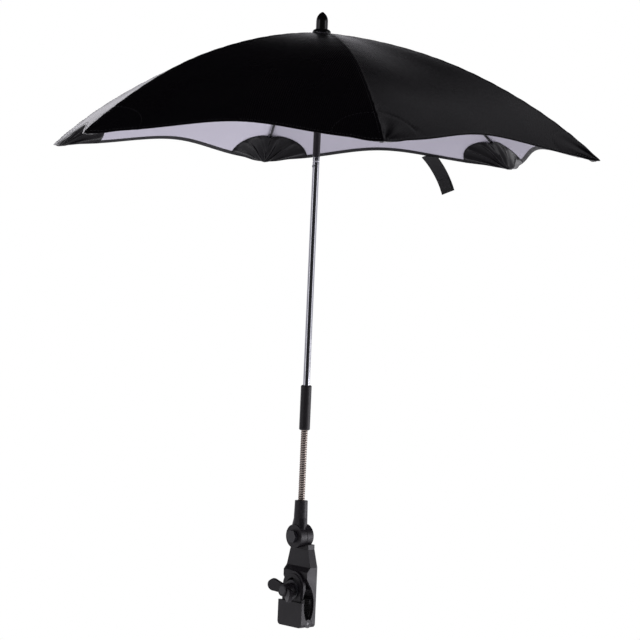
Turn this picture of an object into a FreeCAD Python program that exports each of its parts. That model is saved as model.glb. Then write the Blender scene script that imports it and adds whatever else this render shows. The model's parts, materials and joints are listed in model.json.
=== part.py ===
"""Pram parasol: a six-rib folding canopy on a telescopic mast, gooseneck, tilt knuckle and tube clamp.

Millimetres, +Z up. The origin is the middle of the clamp's tube seat, whose axis is X. The clamp's wing
screw faces -Y, and the mast stands over the seat on the Z axis.
"""
import FreeCAD, Part
import math
import os

import Sketcher

RIB_COUNT = 6
HALF_GORE = math.pi / RIB_COUNT
STRAP_RIB = 4
PANEL_SECTIONS = 9

# Driving dimensions: alias, size (lengths in millimetres, angles in degrees)
SIZES = (
    # tube clamp
    ("seat_radius", 7.5), ("seat_gap", 8.0), ("clamp_width", 46.0), ("clamp_depth", 24.2),
    ("liner_wall", 1.6), ("liner_width", 38.0), ("liner_height", 24.0),
    ("hinge_drop", 19.0), ("hinge_knuckle_radius", 5.5), ("hinge_middle_width", 22.0),
    ("pin_radius", 2.0), ("screw_height", 23.0), ("screw_radius", 3.0), ("screw_tail", 8.0),
    ("nut_radius", 5.8), ("nut_height", 5.0), ("washer_radius", 12.5), ("washer_wall", 1.5),
    ("jaw_step_height", 8.0), ("jaw_plate_wall", 4.0), ("jaw_rim_proud", 1.2), ("jaw_rim_width", 5.0),
    ("arch_height", 27.0), ("arch_radius", 20.0), ("window_radius", 11.5), ("window_drop", 9.0),
    ("hood_drop", 45.0), ("hood_reach", 9.0), ("hood_face", 8.0), ("hood_slope", 6.0),
    ("corner_radius", 5.0), ("mouth_half_height", 26.0), ("mouth_depth", 8.4), ("mouth_rise", 5.0),
    # wing knob
    ("hub_base_radius", 9.0), ("hub_face_radius", 7.6), ("hub_length", 16.0), ("hub_head_height", 4.0),
    ("wing_reach", 25.0), ("wing_lobe_radius", 7.8), ("wing_wall", 5.0), ("wing_sweep", 27.0),
    ("wing_turn", 20.0), ("wing_root", 5.0),
    # tilt knuckle
    ("pivot_height", 92.0), ("ear_radius", 15.2), ("ear_wall", 10.2), ("friction_wall", 0.6),
    ("friction_radius", 13.0), ("shoulder_width", 34.0), ("shoulder_drop", 16.2), ("shoulder_height", 6.2),
    ("bolt_radius", 3.0), ("bolt_head_radius", 8.6), ("bolt_head_height", 5.0), ("bolt_end", 1.5),
    ("socket_height", 45.8), ("socket_top_radius", 8.35), ("socket_foot_radius", 9.2),
    ("socket_flare_width", 28.0), ("socket_seat_depth", 22.0),
    # gooseneck and mast
    ("gooseneck_radius", 4.45), ("gooseneck_bore", 2.6), ("gooseneck_length", 91.2),
    ("gooseneck_groove", 0.7), ("gooseneck_pitch", 3.0),
    ("sleeve_radius", 7.0), ("sleeve_length", 58.0), ("sleeve_chamfer", 1.2), ("sleeve_seat_depth", 24.0),
    ("lower_tube_radius", 4.5), ("tube_wall", 0.5), ("lower_tube_length", 294.0), ("upper_tube_radius", 3.2),
    ("collar_radius", 4.7), ("collar_length", 33.0), ("collar_rim", 0.4), ("collar_spigot", 24.0),
    ("crimp_radius", 1.2), ("crimp_depth", 0.3), ("rivet_radius", 1.3), ("rivet_head", 0.4),
    ("telescope_overlap", 120.0),
    # canopy frame
    ("crown_rise", 122.0), ("hinge_circle", 9.5), ("crown_radius", 13.0), ("crown_wall", 5.7),
    ("crown_cover", 1.2),
    ("wire_radius", 0.6), ("rib_radius", 1.5), ("rib_bend", 623.0), ("rib_start_slope", 4.8),
    ("rib_end_slope", 40.8), ("rib_eye_radius", 1.7), ("rib_lug_wall", 1.8), ("joint_offset", 4.94),
    ("joint_distance", 150.0), ("joint_eye_radius", 2.4), ("joint_pin_radius", 0.9), ("tip_cap_radius", 2.2),
    ("tip_cap_length", 12.0), ("stretcher_radius", 1.3), ("fork_wall", 1.2), ("fork_length", 7.0),
    ("trunnion_radius", 1.1), ("trunnion_length", 6.5), ("joint_head", 0.7),
    ("runner_radius", 13.5), ("runner_bore", 5.4), ("runner_roof", 4.5), ("runner_skirt", 5.5),
    ("runner_sleeve_radius", 7.6), ("runner_sleeve_length", 24.0),
    ("finial_radius", 7.7), ("finial_barrel", 10.0), ("finial_nose", 11.2), ("finial_tip_radius", 2.0),
    ("finial_tip", 0.8), ("finial_flange_radius", 12.0), ("finial_flange", 5.0), ("finial_flange_edge", 1.2),
    ("finial_dome", 6.0), ("finial_seat_depth", 8.0),
    # canopy and strap
    ("cloth_wall", 1.2), ("cloth_start", 8.0), ("hem_rise", 27.0), ("panel_gap", 0.3),
    ("strap_width", 22.0), ("strap_length", 62.0), ("strap_wall", 1.2), ("strap_curl", 80.0),
    ("strap_place", 17.4), ("strap_lean", 28.0), ("strap_overlap", 6.0), ("hook_pad_length", 16.0),
    ("hook_pad_width", 17.0), ("hook_pad_wall", 0.8), ("hook_pad_margin", 4.0),
    # clearances
    ("running_fit", 0.1), ("clear_gap", 0.3), ("swing_gap", 0.4),
)

doc = FreeCAD.newDocument("PramParasol")
sheet = doc.addObject("Spreadsheet::Sheet", "Sizes")
for row, (alias, size) in enumerate(SIZES, start=1):
    sheet.set(f"A{row}", alias)
    sheet.set(f"B{row}", str(size))
    sheet.setAlias(f"B{row}", alias)
doc.recompute()


class Size:
    """A size from the sheet, or a sum of such sizes: its value, and the expression that keeps it bound."""

    def __init__(self, value, text):
        self.value = value
        self.text = text

    def __add__(self, other):
        return combine(self, "+", other, self.value + plain(other))

    def __radd__(self, other):
        return combine(other, "+", self, plain(other) + self.value)

    def __sub__(self, other):
        return combine(self, "-", other, self.value - plain(other))

    def __rsub__(self, other):
        return combine(other, "-", self, plain(other) - self.value)

    def __mul__(self, other):
        return combine(self, "*", other, self.value * plain(other))

    def __rmul__(self, other):
        return combine(other, "*", self, plain(other) * self.value)

    def __truediv__(self, other):
        return combine(self, "/", other, self.value / plain(other))

    def __neg__(self):
        return combine(0, "-", self, -self.value)


class Sheet:
    """The sheet's sizes by name."""

    def __getattr__(self, alias):
        return Size(float(sheet.get(alias)), f"Sizes.{alias}")


def plain(size):
    """A size's number."""
    return size.value if isinstance(size, Size) else size


def worded(size):
    """A size's expression."""
    return size.text if isinstance(size, Size) else str(size)


def combine(left, sign, right, value):
    """Two sizes joined by an arithmetic sign."""
    return Size(value, f"({worded(left)} {sign} {worded(right)})")


def sine(angle):
    return Size(math.sin(math.radians(plain(angle))), f"sin({worded(angle)})")


def cosine(angle):
    return Size(math.cos(math.radians(plain(angle))), f"cos({worded(angle)})")


def arcsine(ratio):
    return Size(math.degrees(math.asin(plain(ratio))), f"(asin({worded(ratio)}) / 1 deg)")


def hypotenuse(one, other):
    return Size(math.hypot(plain(one), plain(other)), f"sqrt({worded(one * one + other * other)})")


def arc_radius(rise, half_chord):
    """The radius of an arc that leaves square to its rise and ends a half chord away."""
    return (rise * rise + half_chord * half_chord) / (2 * rise)


def bind(obj, prop, size):
    """Binds a property to the sheet, or sets it to a number."""
    obj.setExpression(prop, worded(size))


X_AXIS = FreeCAD.Vector(1, 0, 0)
Y_AXIS = FreeCAD.Vector(0, 1, 0)
Z_AXIS = FreeCAD.Vector(0, 0, 1)
# Turns that lay a primitive's own Z axis along X, Y or Z
TURNS = {
    "x": FreeCAD.Rotation(Y_AXIS, 90),
    "y": FreeCAD.Rotation(X_AXIS, -90),
    "z": FreeCAD.Rotation(),
}
# Turns that lay a sketch in a plane, and the direction it is drawn out in
PLANES = {
    "xz": (FreeCAD.Rotation(X_AXIS, 90), Y_AXIS, "y"),
    "yz": (FreeCAD.Rotation(FreeCAD.Vector(1, 1, 1), 120), X_AXIS, "x"),
}

dim = Sheet()
subparts = []


def subpart(label, obj):
    """Names a finished sub-part, which is written to a file of that name."""
    obj.Label = label
    subparts.append(obj)
    return obj


def place(obj, at, turn):
    """Turns an object, and binds its position."""
    obj.Placement = FreeCAD.Placement(FreeCAD.Vector(), turn)
    for axis, size in zip("xyz", at):
        bind(obj, f"Placement.Base.{axis}", size)
    return obj


def primitive(kind, at, turn, **sizes):
    """A Part primitive with bound sizes."""
    obj = doc.addObject(f"Part::{kind}", kind)
    for prop, size in sizes.items():
        bind(obj, prop, size)
    return place(obj, at, turn)


def cylinder(radius, length, at=(0, 0, 0), along="z"):
    return primitive("Cylinder", at, TURNS[along], Radius=radius, Height=length)


def cone(radius, end_radius, length, at, along="z"):
    return primitive("Cone", at, TURNS[along], Radius1=radius, Radius2=end_radius, Height=length)


def torus(radius, wire, at):
    return primitive("Torus", at, TURNS["z"], Radius1=radius, Radius2=wire)


def hexagon(radius, length, at, along):
    obj = primitive("Prism", at, TURNS[along], Circumradius=radius, Height=length)
    obj.Polygon = 6
    return obj


def block(size, at):
    """A box from its three sizes and the middle of each, apart from y and z, which start at their place."""
    length, width, height = size
    x, y, z = at
    corner = (x - length / 2, y, z)
    return primitive("Box", corner, TURNS["z"], Length=length, Width=width, Height=height)


def fuse(*shapes):
    obj = doc.addObject("Part::MultiFuse", "Fuse")
    obj.Shapes = list(shapes)
    obj.Refine = True
    return obj


def cut(base, *tools):
    obj = doc.addObject("Part::Cut", "Cut")
    obj.Base = base
    obj.Tool = tools[0] if len(tools) == 1 else fuse(*tools)
    obj.Refine = True
    return obj


def common(base, tool):
    obj = doc.addObject("Part::Common", "Common")
    obj.Base = base
    obj.Tool = tool
    return obj


def fix_point(sketch, part, end, x, y):
    """Holds a sketch point at bound coordinates."""
    for kind, axis, size in (("DistanceX", -2, x), ("DistanceY", -1, y)):
        if plain(size) == 0 and not isinstance(size, Size):
            sketch.addConstraint(Sketcher.Constraint("PointOnObject", part, end, axis))
        else:
            number = sketch.addConstraint(Sketcher.Constraint(kind, -1, 1, part, end, plain(size)))
            bind(sketch, f"Constraints[{number}]", size)


def draw_outline(sketch, points):
    """Draws a closed outline counter-clockwise. A point's third value is the radius of the arc up to it."""
    flat = [FreeCAD.Vector(plain(p[0]), plain(p[1]), 0) for p in points]
    parts = []
    for number, target in enumerate(points):
        start, end = flat[number - 1], flat[number]
        if len(target) == 2:
            parts.append(sketch.addGeometry(Part.LineSegment(start, end), False))
            continue
        chord = end - start
        outward = FreeCAD.Vector(chord.y, -chord.x, 0).normalize()
        radius = plain(target[2])
        rise = radius - math.sqrt(radius**2 - (chord.Length / 2) ** 2)
        middle = (start + end) * 0.5 + outward * rise
        parts.append(sketch.addGeometry(Part.Arc(start, middle, end), False))
        constraint = sketch.addConstraint(Sketcher.Constraint("Radius", parts[-1], radius))
        bind(sketch, f"Constraints[{constraint}]", target[2])
    for number, target in enumerate(points):
        following = parts[(number + 1) % len(parts)]
        sketch.addConstraint(Sketcher.Constraint("Coincident", parts[number], 2, following, 1))
        fix_point(sketch, parts[number], 2, target[0], target[1])


def prism(points, plane, start, length):
    """An outline in the XZ or YZ plane, drawn out from start along the plane's normal."""
    turn, direction, axis = PLANES[plane]
    sketch = doc.addObject("Sketcher::SketchObject", "Outline")
    draw_outline(sketch, points)
    at = {"x": (start, 0, 0), "y": (0, start, 0)}[axis]
    place(sketch, at, turn)
    obj = doc.addObject("Part::Extrusion", "Prism")
    obj.Base = sketch
    obj.DirMode = "Custom"
    obj.Dir = direction
    obj.Solid = True
    bind(obj, "LengthFwd", length)
    return obj


def turned(points, at, turn=TURNS["z"]):
    """A PartDesign body turned about its own Z axis from (radius, height) points."""
    body = doc.addObject("PartDesign::Body", "Turned")
    sketch = body.newObject("Sketcher::SketchObject", "Profile")
    plane = next(f for f in body.Origin.OriginFeatures if f.Role == "XZ_Plane")
    sketch.AttachmentSupport = [(plane, "")]
    sketch.MapMode = "FlatFace"
    draw_outline(sketch, points)
    revolution = body.newObject("PartDesign::Revolution", "Revolution")
    revolution.Profile = sketch
    revolution.ReferenceAxis = (sketch, ["V_Axis"])
    revolution.Angle = 360
    return place(body, at, turn)


def oval(half_width, half_depth_of_oval, at):
    """A level ellipse, wider than deep."""
    obj = doc.addObject("Part::Ellipse", "Oval")
    bind(obj, "MajorRadius", half_width)
    bind(obj, "MinorRadius", half_depth_of_oval)
    return place(obj, at, TURNS["z"])


def loft(low, high):
    """A solid drawn from one outline to another."""
    obj = doc.addObject("Part::Loft", "Loft")
    obj.Sections = [low, high]
    obj.Solid = True
    obj.Ruled = True
    return obj


def rounded(base, radius, wanted):
    """Rounds the edges that a test picks out."""
    doc.recompute()
    obj = doc.addObject("Part::Fillet", "Rounded")
    obj.Base = base
    size = plain(radius)
    obj.Edges = [(n, size, size) for n, edge in enumerate(base.Shape.Edges, start=1) if wanted(edge)]
    return obj


def runs_along(edge, axis):
    """Is an edge a straight line along an axis?"""
    return edge.Curve.TypeId == "Part::GeomLine" and abs(edge.Curve.Direction.dot(axis)) > 0.999


# Heights and places that several pieces share
half_depth = dim.clamp_depth / 2
half_gap = dim.seat_gap / 2
clamp_foot = -(dim.hinge_drop + dim.hinge_knuckle_radius)
liner_back = dim.seat_radius + dim.liner_wall
plate_face = -(half_gap + dim.jaw_plate_wall)
rim_face = plate_face - dim.jaw_rim_proud
washer_face = rim_face - dim.running_fit
knob_base = washer_face - dim.washer_wall
hub_face = knob_base - dim.hub_length
ear_face = dim.friction_wall / 2
ear_back = ear_face + dim.ear_wall
socket_top = dim.pivot_height + dim.socket_height
gooseneck_middle = socket_top + dim.gooseneck_length / 2
sleeve_foot = socket_top + dim.gooseneck_length
sleeve_top = sleeve_foot + dim.sleeve_length
tube_top = sleeve_top + dim.lower_tube_length
collar_top = tube_top + dim.collar_length
hinge_height = collar_top + dim.crown_rise
rib_chord_angle = dim.rib_start_slope + arcsine(dim.joint_distance / (2 * dim.rib_bend))
joint_drop_angle = rib_chord_angle + arcsine(dim.joint_offset / dim.joint_distance)
joint_reach = dim.hinge_circle + dim.joint_distance * cosine(joint_drop_angle)
joint_height = hinge_height - dim.joint_distance * sine(joint_drop_angle)
fork_inner = dim.rib_lug_wall / 2 + dim.clear_gap
fork_outer = fork_inner + dim.fork_wall
runner_height = hinge_height - 2 * dim.joint_distance * sine(joint_drop_angle)
slot_width = 2 * (dim.rib_radius + dim.clear_gap)
cloth_under = dim.tip_cap_radius + dim.clear_gap
cloth_top = cloth_under + dim.cloth_wall
finial_foot = hinge_height + cloth_top + dim.clear_gap
bend_out = dim.hinge_circle - dim.rib_bend * sine(dim.rib_start_slope)
bend_height = hinge_height - dim.rib_bend * cosine(dim.rib_start_slope)


def rib_point(slope, lift=0.0, spread=0.0):
    """A point on a rib's arc, or lifted off it, in the radial plane that is turned by spread from the rib."""
    bend = plain(dim.rib_bend) + lift
    # between two ribs the cloth is drawn straight from one to the other
    drawn_in = math.cos(HALF_GORE) / math.cos(HALF_GORE - abs(spread))
    out = (plain(bend_out) + bend * math.sin(slope)) * drawn_in
    height = plain(bend_height) + bend * math.cos(slope)
    return FreeCAD.Vector(out * math.cos(spread), out * math.sin(spread), height)


def slope_turn(slope):
    """The turn that starts a round primitive at a slope and carries it on outwards and down."""
    return FreeCAD.Rotation(Y_AXIS, slope - 90) * TURNS["y"]


def azimuth_turn(number):
    """The turn from the X axis to a rib. The first rib points to the clamp's front, -Y."""
    return FreeCAD.Rotation(Z_AXIS, 360 / RIB_COUNT * (number - 1) - 90)


def at_rib(label, number, obj):
    """A sub-part drawn on the X axis, turned to its rib."""
    obj.Placement = FreeCAD.Placement(FreeCAD.Vector(), azimuth_turn(number))
    return subpart(label, obj)


# Tube clamp
def liner_pad(side):
    """A rubber pad with its share of the round tube seat. Side is 1 at the rear and -1 on the jaw."""
    wall = liner_back - half_gap
    start = half_gap if side > 0 else -liner_back
    pad = block((dim.liner_width, wall, dim.liner_height), (0, start, -(dim.liner_height / 2)))
    tube = cylinder(dim.seat_radius, dim.clamp_width, (-(dim.clamp_width / 2), 0, 0), "x")
    return cut(pad, tube)


def liner_pocket(side):
    """The pocket that a pad is bonded into."""
    wall = liner_back - half_gap
    start = half_gap if side > 0 else -liner_back
    return block((dim.liner_width, wall, dim.liner_height), (0, start, -(dim.liner_height / 2)))


def tube_way():
    """The way through the clamp for the frame tube: a tall mouth, bowed to both sides."""
    bow = arc_radius(dim.mouth_depth, dim.mouth_half_height)
    offset = bow - dim.mouth_depth
    start = -(dim.clamp_width / 2)
    front = cylinder(bow, dim.clamp_width, (start, offset, dim.mouth_rise), "x")
    return common(front, cylinder(bow, dim.clamp_width, (start, -offset, dim.mouth_rise), "x"))


def hinge_bar(radius, length, start):
    """A bar on the jaw hinge's axis."""
    return cylinder(radius, length, (start, 0, -dim.hinge_drop), "x")


def clamp_body():
    half_width = dim.clamp_width / 2
    half_shoulder = dim.shoulder_width / 2
    shoulder = dim.pivot_height - dim.shoulder_drop
    shoulder_top = shoulder + dim.shoulder_height
    crease = dim.pivot_height - dim.hood_drop + dim.hood_slope
    brow = dim.pivot_height - dim.hood_drop
    hood_lip = brow - dim.hood_face
    front = prism(
        [
            (half_width, clamp_foot), (half_width, crease), (half_shoulder, shoulder),
            (half_shoulder, shoulder_top), (-half_shoulder, shoulder_top), (-half_shoulder, shoulder),
            (-half_width, crease), (-half_width, clamp_foot),
        ],
        "xz", -2 * half_depth, 4 * half_depth,
    )
    neck_face = ear_face - dim.clear_gap
    brow_face = half_gap - dim.hood_reach
    side = prism(
        [
            (half_depth, clamp_foot), (half_depth, crease), (ear_back, dim.pivot_height),
            (ear_face, dim.pivot_height), (ear_face, shoulder), (neck_face, shoulder), (neck_face, crease),
            (brow_face, brow), (brow_face, hood_lip), (half_gap, dim.screw_height), (half_gap, clamp_foot),
        ],
        "yz", -half_width, dim.clamp_width,
    )
    shell = rounded(
        common(front, side), dim.corner_radius,
        lambda edge: runs_along(edge, Y_AXIS) and edge.CenterOfMass.z < plain(clamp_foot) + 1,
    )
    ear = cylinder(dim.ear_radius, dim.ear_wall, (0, ear_face, dim.pivot_height), "y")
    hinge_start = -(dim.hinge_middle_width / 2)
    knuckle = hinge_bar(dim.hinge_knuckle_radius, dim.hinge_middle_width, hinge_start)
    arch_room = dim.arch_radius + dim.swing_gap
    arch = cylinder(arch_room, 2 * dim.hood_reach, (0, half_gap - 2 * dim.hood_reach, dim.arch_height), "y")
    doorway = block(
        (2 * arch_room, 2 * dim.hood_reach, dim.arch_height - clamp_foot),
        (0, half_gap - 2 * dim.hood_reach, clamp_foot),
    )
    relief_radius = dim.hinge_knuckle_radius + dim.swing_gap
    relief_length = half_width - dim.hinge_middle_width / 2
    relief = [
        hinge_bar(relief_radius, relief_length, dim.hinge_middle_width / 2),
        hinge_bar(relief_radius, relief_length, -half_width),
    ]
    screw_way = cylinder(
        dim.screw_radius + dim.clear_gap, 2 * half_depth, (0, 0, dim.screw_height), "y"
    )
    nut_place = (0, half_depth - dim.nut_height, dim.screw_height)
    nut_pocket = hexagon(dim.nut_radius, dim.nut_height, nut_place, "y")
    bolt_way = cylinder(dim.bolt_radius, dim.ear_wall, (0, ear_face, dim.pivot_height), "y")
    pin_way = hinge_bar(dim.pin_radius, dim.clamp_width, -half_width)
    holes = (screw_way, nut_pocket, bolt_way, liner_pocket(1), tube_way())
    walls = cut(fuse(shell, ear), arch, doorway, *relief, *holes)
    return subpart("clamp_body", cut(fuse(walls, knuckle), pin_way))


def front_jaw():
    half_width = dim.clamp_width / 2
    base_height = dim.jaw_step_height - clamp_foot
    base = block((dim.clamp_width, half_depth - half_gap, base_height), (0, -half_depth, clamp_foot))
    base = rounded(
        base, dim.corner_radius,
        lambda edge: runs_along(edge, Y_AXIS) and edge.CenterOfMass.z < plain(clamp_foot) + 1,
    )
    plate_height = dim.arch_height - dim.jaw_step_height
    plate_size = (2 * dim.arch_radius, dim.jaw_plate_wall, plate_height)
    plate = block(plate_size, (0, plate_face, dim.jaw_step_height))
    arch = cylinder(dim.arch_radius, dim.jaw_plate_wall, (0, plate_face, dim.arch_height), "y")
    rim_radius = dim.window_radius + dim.jaw_rim_width
    rim = cylinder(rim_radius, dim.jaw_rim_proud, (0, rim_face, dim.arch_height), "y")
    rim_foot = block((2 * rim_radius, dim.jaw_rim_proud, plate_height), (0, rim_face, dim.jaw_step_height))
    ear_length = half_width - dim.hinge_middle_width / 2 - dim.swing_gap
    ears = [
        hinge_bar(dim.hinge_knuckle_radius, ear_length, dim.hinge_middle_width / 2 + dim.swing_gap),
        hinge_bar(dim.hinge_knuckle_radius, ear_length, -half_width),
    ]
    window = cylinder(dim.window_radius, 2 * half_depth, (0, -2 * half_depth, dim.arch_height), "y")
    window_foot = block(
        (2 * dim.window_radius, 2 * half_depth, dim.window_drop),
        (0, -2 * half_depth, dim.arch_height - dim.window_drop),
    )
    middle_room = hinge_bar(
        dim.hinge_knuckle_radius + dim.swing_gap,
        dim.hinge_middle_width + 2 * dim.swing_gap,
        -(dim.hinge_middle_width / 2 + dim.swing_gap),
    )
    pin_way = hinge_bar(dim.pin_radius + dim.running_fit, dim.clamp_width, -half_width)
    holes = (window, window_foot, middle_room, liner_pocket(-1), tube_way())
    walls = cut(fuse(base, plate, arch, rim, rim_foot), *holes)
    return subpart("front_jaw", cut(fuse(walls, *ears), pin_way))


def clamp_fittings():
    subpart("rear_liner", liner_pad(1))
    subpart("front_liner", liner_pad(-1))
    pin_length = dim.clamp_width - 2 * dim.clear_gap
    subpart("jaw_pin", hinge_bar(dim.pin_radius, pin_length, -(pin_length / 2)))
    nut_place = (0, half_depth - dim.nut_height, dim.screw_height)
    nut = hexagon(dim.nut_radius, dim.nut_height, nut_place, "y")
    nut_bore = cylinder(dim.screw_radius + dim.running_fit, dim.nut_height, nut_place, "y")
    subpart("trapped_nut", cut(nut, nut_bore))
    washer_place = (0, knob_base, dim.screw_height)
    washer = cylinder(dim.washer_radius, dim.washer_wall, washer_place, "y")
    bore = cylinder(dim.screw_radius + dim.running_fit, dim.washer_wall, washer_place, "y")
    subpart("screw_washer", cut(washer, bore))


def wing(side):
    """A rounded lobe that leans forward from the hub. Side is 1 or -1 along X."""
    lobe_middle = dim.wing_reach - dim.wing_lobe_radius
    lobe = cylinder(dim.wing_lobe_radius, dim.wing_wall, (lobe_middle, 0, 0), "y")
    root = prism(
        [
            (0, -dim.wing_root), (lobe_middle, -dim.wing_lobe_radius),
            (lobe_middle, dim.wing_lobe_radius), (0, dim.wing_root),
        ],
        "xz", 0, dim.wing_wall,
    )
    leaf = fuse(lobe, root)
    lean = FreeCAD.Rotation(Z_AXIS, -plain(dim.wing_sweep))
    half_turn = FreeCAD.Rotation(Y_AXIS, 0 if side > 0 else 180)
    set_turn = FreeCAD.Rotation(Y_AXIS, plain(dim.wing_turn))
    return place(leaf, (0, hub_face + dim.wing_wall, dim.screw_height), set_turn * half_turn * lean)


def wing_screw():
    hub = cone(dim.hub_face_radius, dim.hub_base_radius, dim.hub_length, (0, hub_face, dim.screw_height), "y")
    shank_start = hub_face + dim.hub_head_height
    head_place = (0, hub_face, dim.screw_height)
    head = hexagon(dim.nut_radius, dim.hub_head_height, head_place, "y")
    shank_length = half_depth + dim.screw_tail - shank_start
    shank = cylinder(dim.screw_radius, shank_length, (0, shank_start, dim.screw_height), "y")
    subpart("clamp_screw", fuse(head, shank))
    head_room = hexagon(dim.nut_radius, dim.hub_head_height, head_place, "y")
    front_place = (0, hub_face - dim.wing_reach, dim.screw_height)
    front_room = cylinder(dim.nut_radius, dim.wing_reach, front_place, "y")
    shank_room = cylinder(dim.screw_radius, dim.hub_length, head_place, "y")
    subpart("wing_knob", cut(fuse(hub, wing(1), wing(-1)), head_room, front_room, shank_room))


# Tilt knuckle
def knuckle():
    pivot = dim.pivot_height
    washer = cylinder(dim.friction_radius, dim.friction_wall, (0, -ear_face, pivot), "y")
    washer_bore = cylinder(dim.bolt_radius, dim.friction_wall, (0, -ear_face, pivot), "y")
    subpart("friction_washer", cut(washer, washer_bore))
    bolt_tail = ear_back + dim.nut_height + dim.bolt_end
    shank = cylinder(dim.bolt_radius, ear_back + bolt_tail, (0, -ear_back, pivot), "y")
    head_place = (0, -ear_back - dim.bolt_head_height, pivot)
    head = hexagon(dim.bolt_head_radius, dim.bolt_head_height, head_place, "y")
    subpart("hinge_bolt", fuse(head, shank))
    nut = hexagon(dim.nut_radius, dim.nut_height, (0, ear_back, pivot), "y")
    thread = cylinder(dim.bolt_radius, dim.nut_height, (0, ear_back, pivot), "y")
    subpart("hinge_nut", cut(nut, thread))


def socket():
    pivot = dim.pivot_height
    seat_room = dim.ear_radius + dim.swing_gap
    barrel_foot = pivot + dim.ear_radius / 2
    barrel_height = socket_top - barrel_foot
    barrel = cone(dim.socket_foot_radius, dim.socket_top_radius, barrel_height, (0, 0, barrel_foot))
    ear = cylinder(dim.ear_radius, dim.ear_wall, (0, -ear_back, pivot), "y")
    flare_top = pivot + seat_room + dim.socket_foot_radius
    flare = loft(
        oval(dim.socket_flare_width / 2, dim.ear_wall / 2, (0, -(ear_face + dim.ear_wall / 2), pivot)),
        oval(dim.socket_top_radius + dim.clear_gap, dim.socket_top_radius, (0, 0, flare_top)),
    )
    rear_room = cylinder(seat_room, dim.clamp_depth, (0, -ear_face, pivot), "y")
    way_radius = dim.bolt_radius + dim.running_fit
    bolt_way = cylinder(way_radius, dim.clamp_depth, (0, -dim.clamp_depth, pivot), "y")
    bore = cylinder(dim.gooseneck_radius, dim.socket_seat_depth, (0, 0, socket_top - dim.socket_seat_depth))
    subpart("socket", cut(fuse(barrel, flare, ear), rear_room, bolt_way, bore))


# Gooseneck and mast
def gooseneck_half(foot, ribs_from, ribs_to, top):
    """Half of the corrugated tube: a ruled loft through four circles a rib, plain where it is seated."""
    crest = plain(dim.gooseneck_radius)
    valley = crest - plain(dim.gooseneck_groove)
    rib_count = round((ribs_to - ribs_from) / plain(dim.gooseneck_pitch))
    pitch = (ribs_to - ribs_from) / rib_count
    rings = [(foot, crest)] if foot < ribs_from else []
    for rib in range(rib_count):
        start = ribs_from + rib * pitch
        rings += [
            (start, valley), (start + 0.2 * pitch, crest),
            (start + 0.8 * pitch, crest), (start + 0.98 * pitch, valley),
        ]
    rings += [(top, valley)] if top <= ribs_to else [(ribs_to, crest), (top, crest)]
    circles = [
        Part.Wire([Part.Circle(FreeCAD.Vector(0, 0, height), Z_AXIS, radius).toShape()])
        for height, radius in rings
    ]
    bore = Part.makeCylinder(plain(dim.gooseneck_bore), top - foot, FreeCAD.Vector(0, 0, foot))
    return Part.makeLoft(circles, True, True).cut(bore)


def gooseneck():
    start, middle, end = plain(socket_top), plain(gooseneck_middle), plain(sleeve_foot)
    lower = doc.addObject("Part::Feature", "GooseneckLower")
    lower.Shape = gooseneck_half(start - plain(dim.socket_seat_depth), start, middle, middle)
    subpart("gooseneck_lower", lower)
    upper = doc.addObject("Part::Feature", "GooseneckUpper")
    upper.Shape = gooseneck_half(middle, middle, end, end + plain(dim.sleeve_seat_depth))
    subpart("gooseneck_upper", upper)


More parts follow.
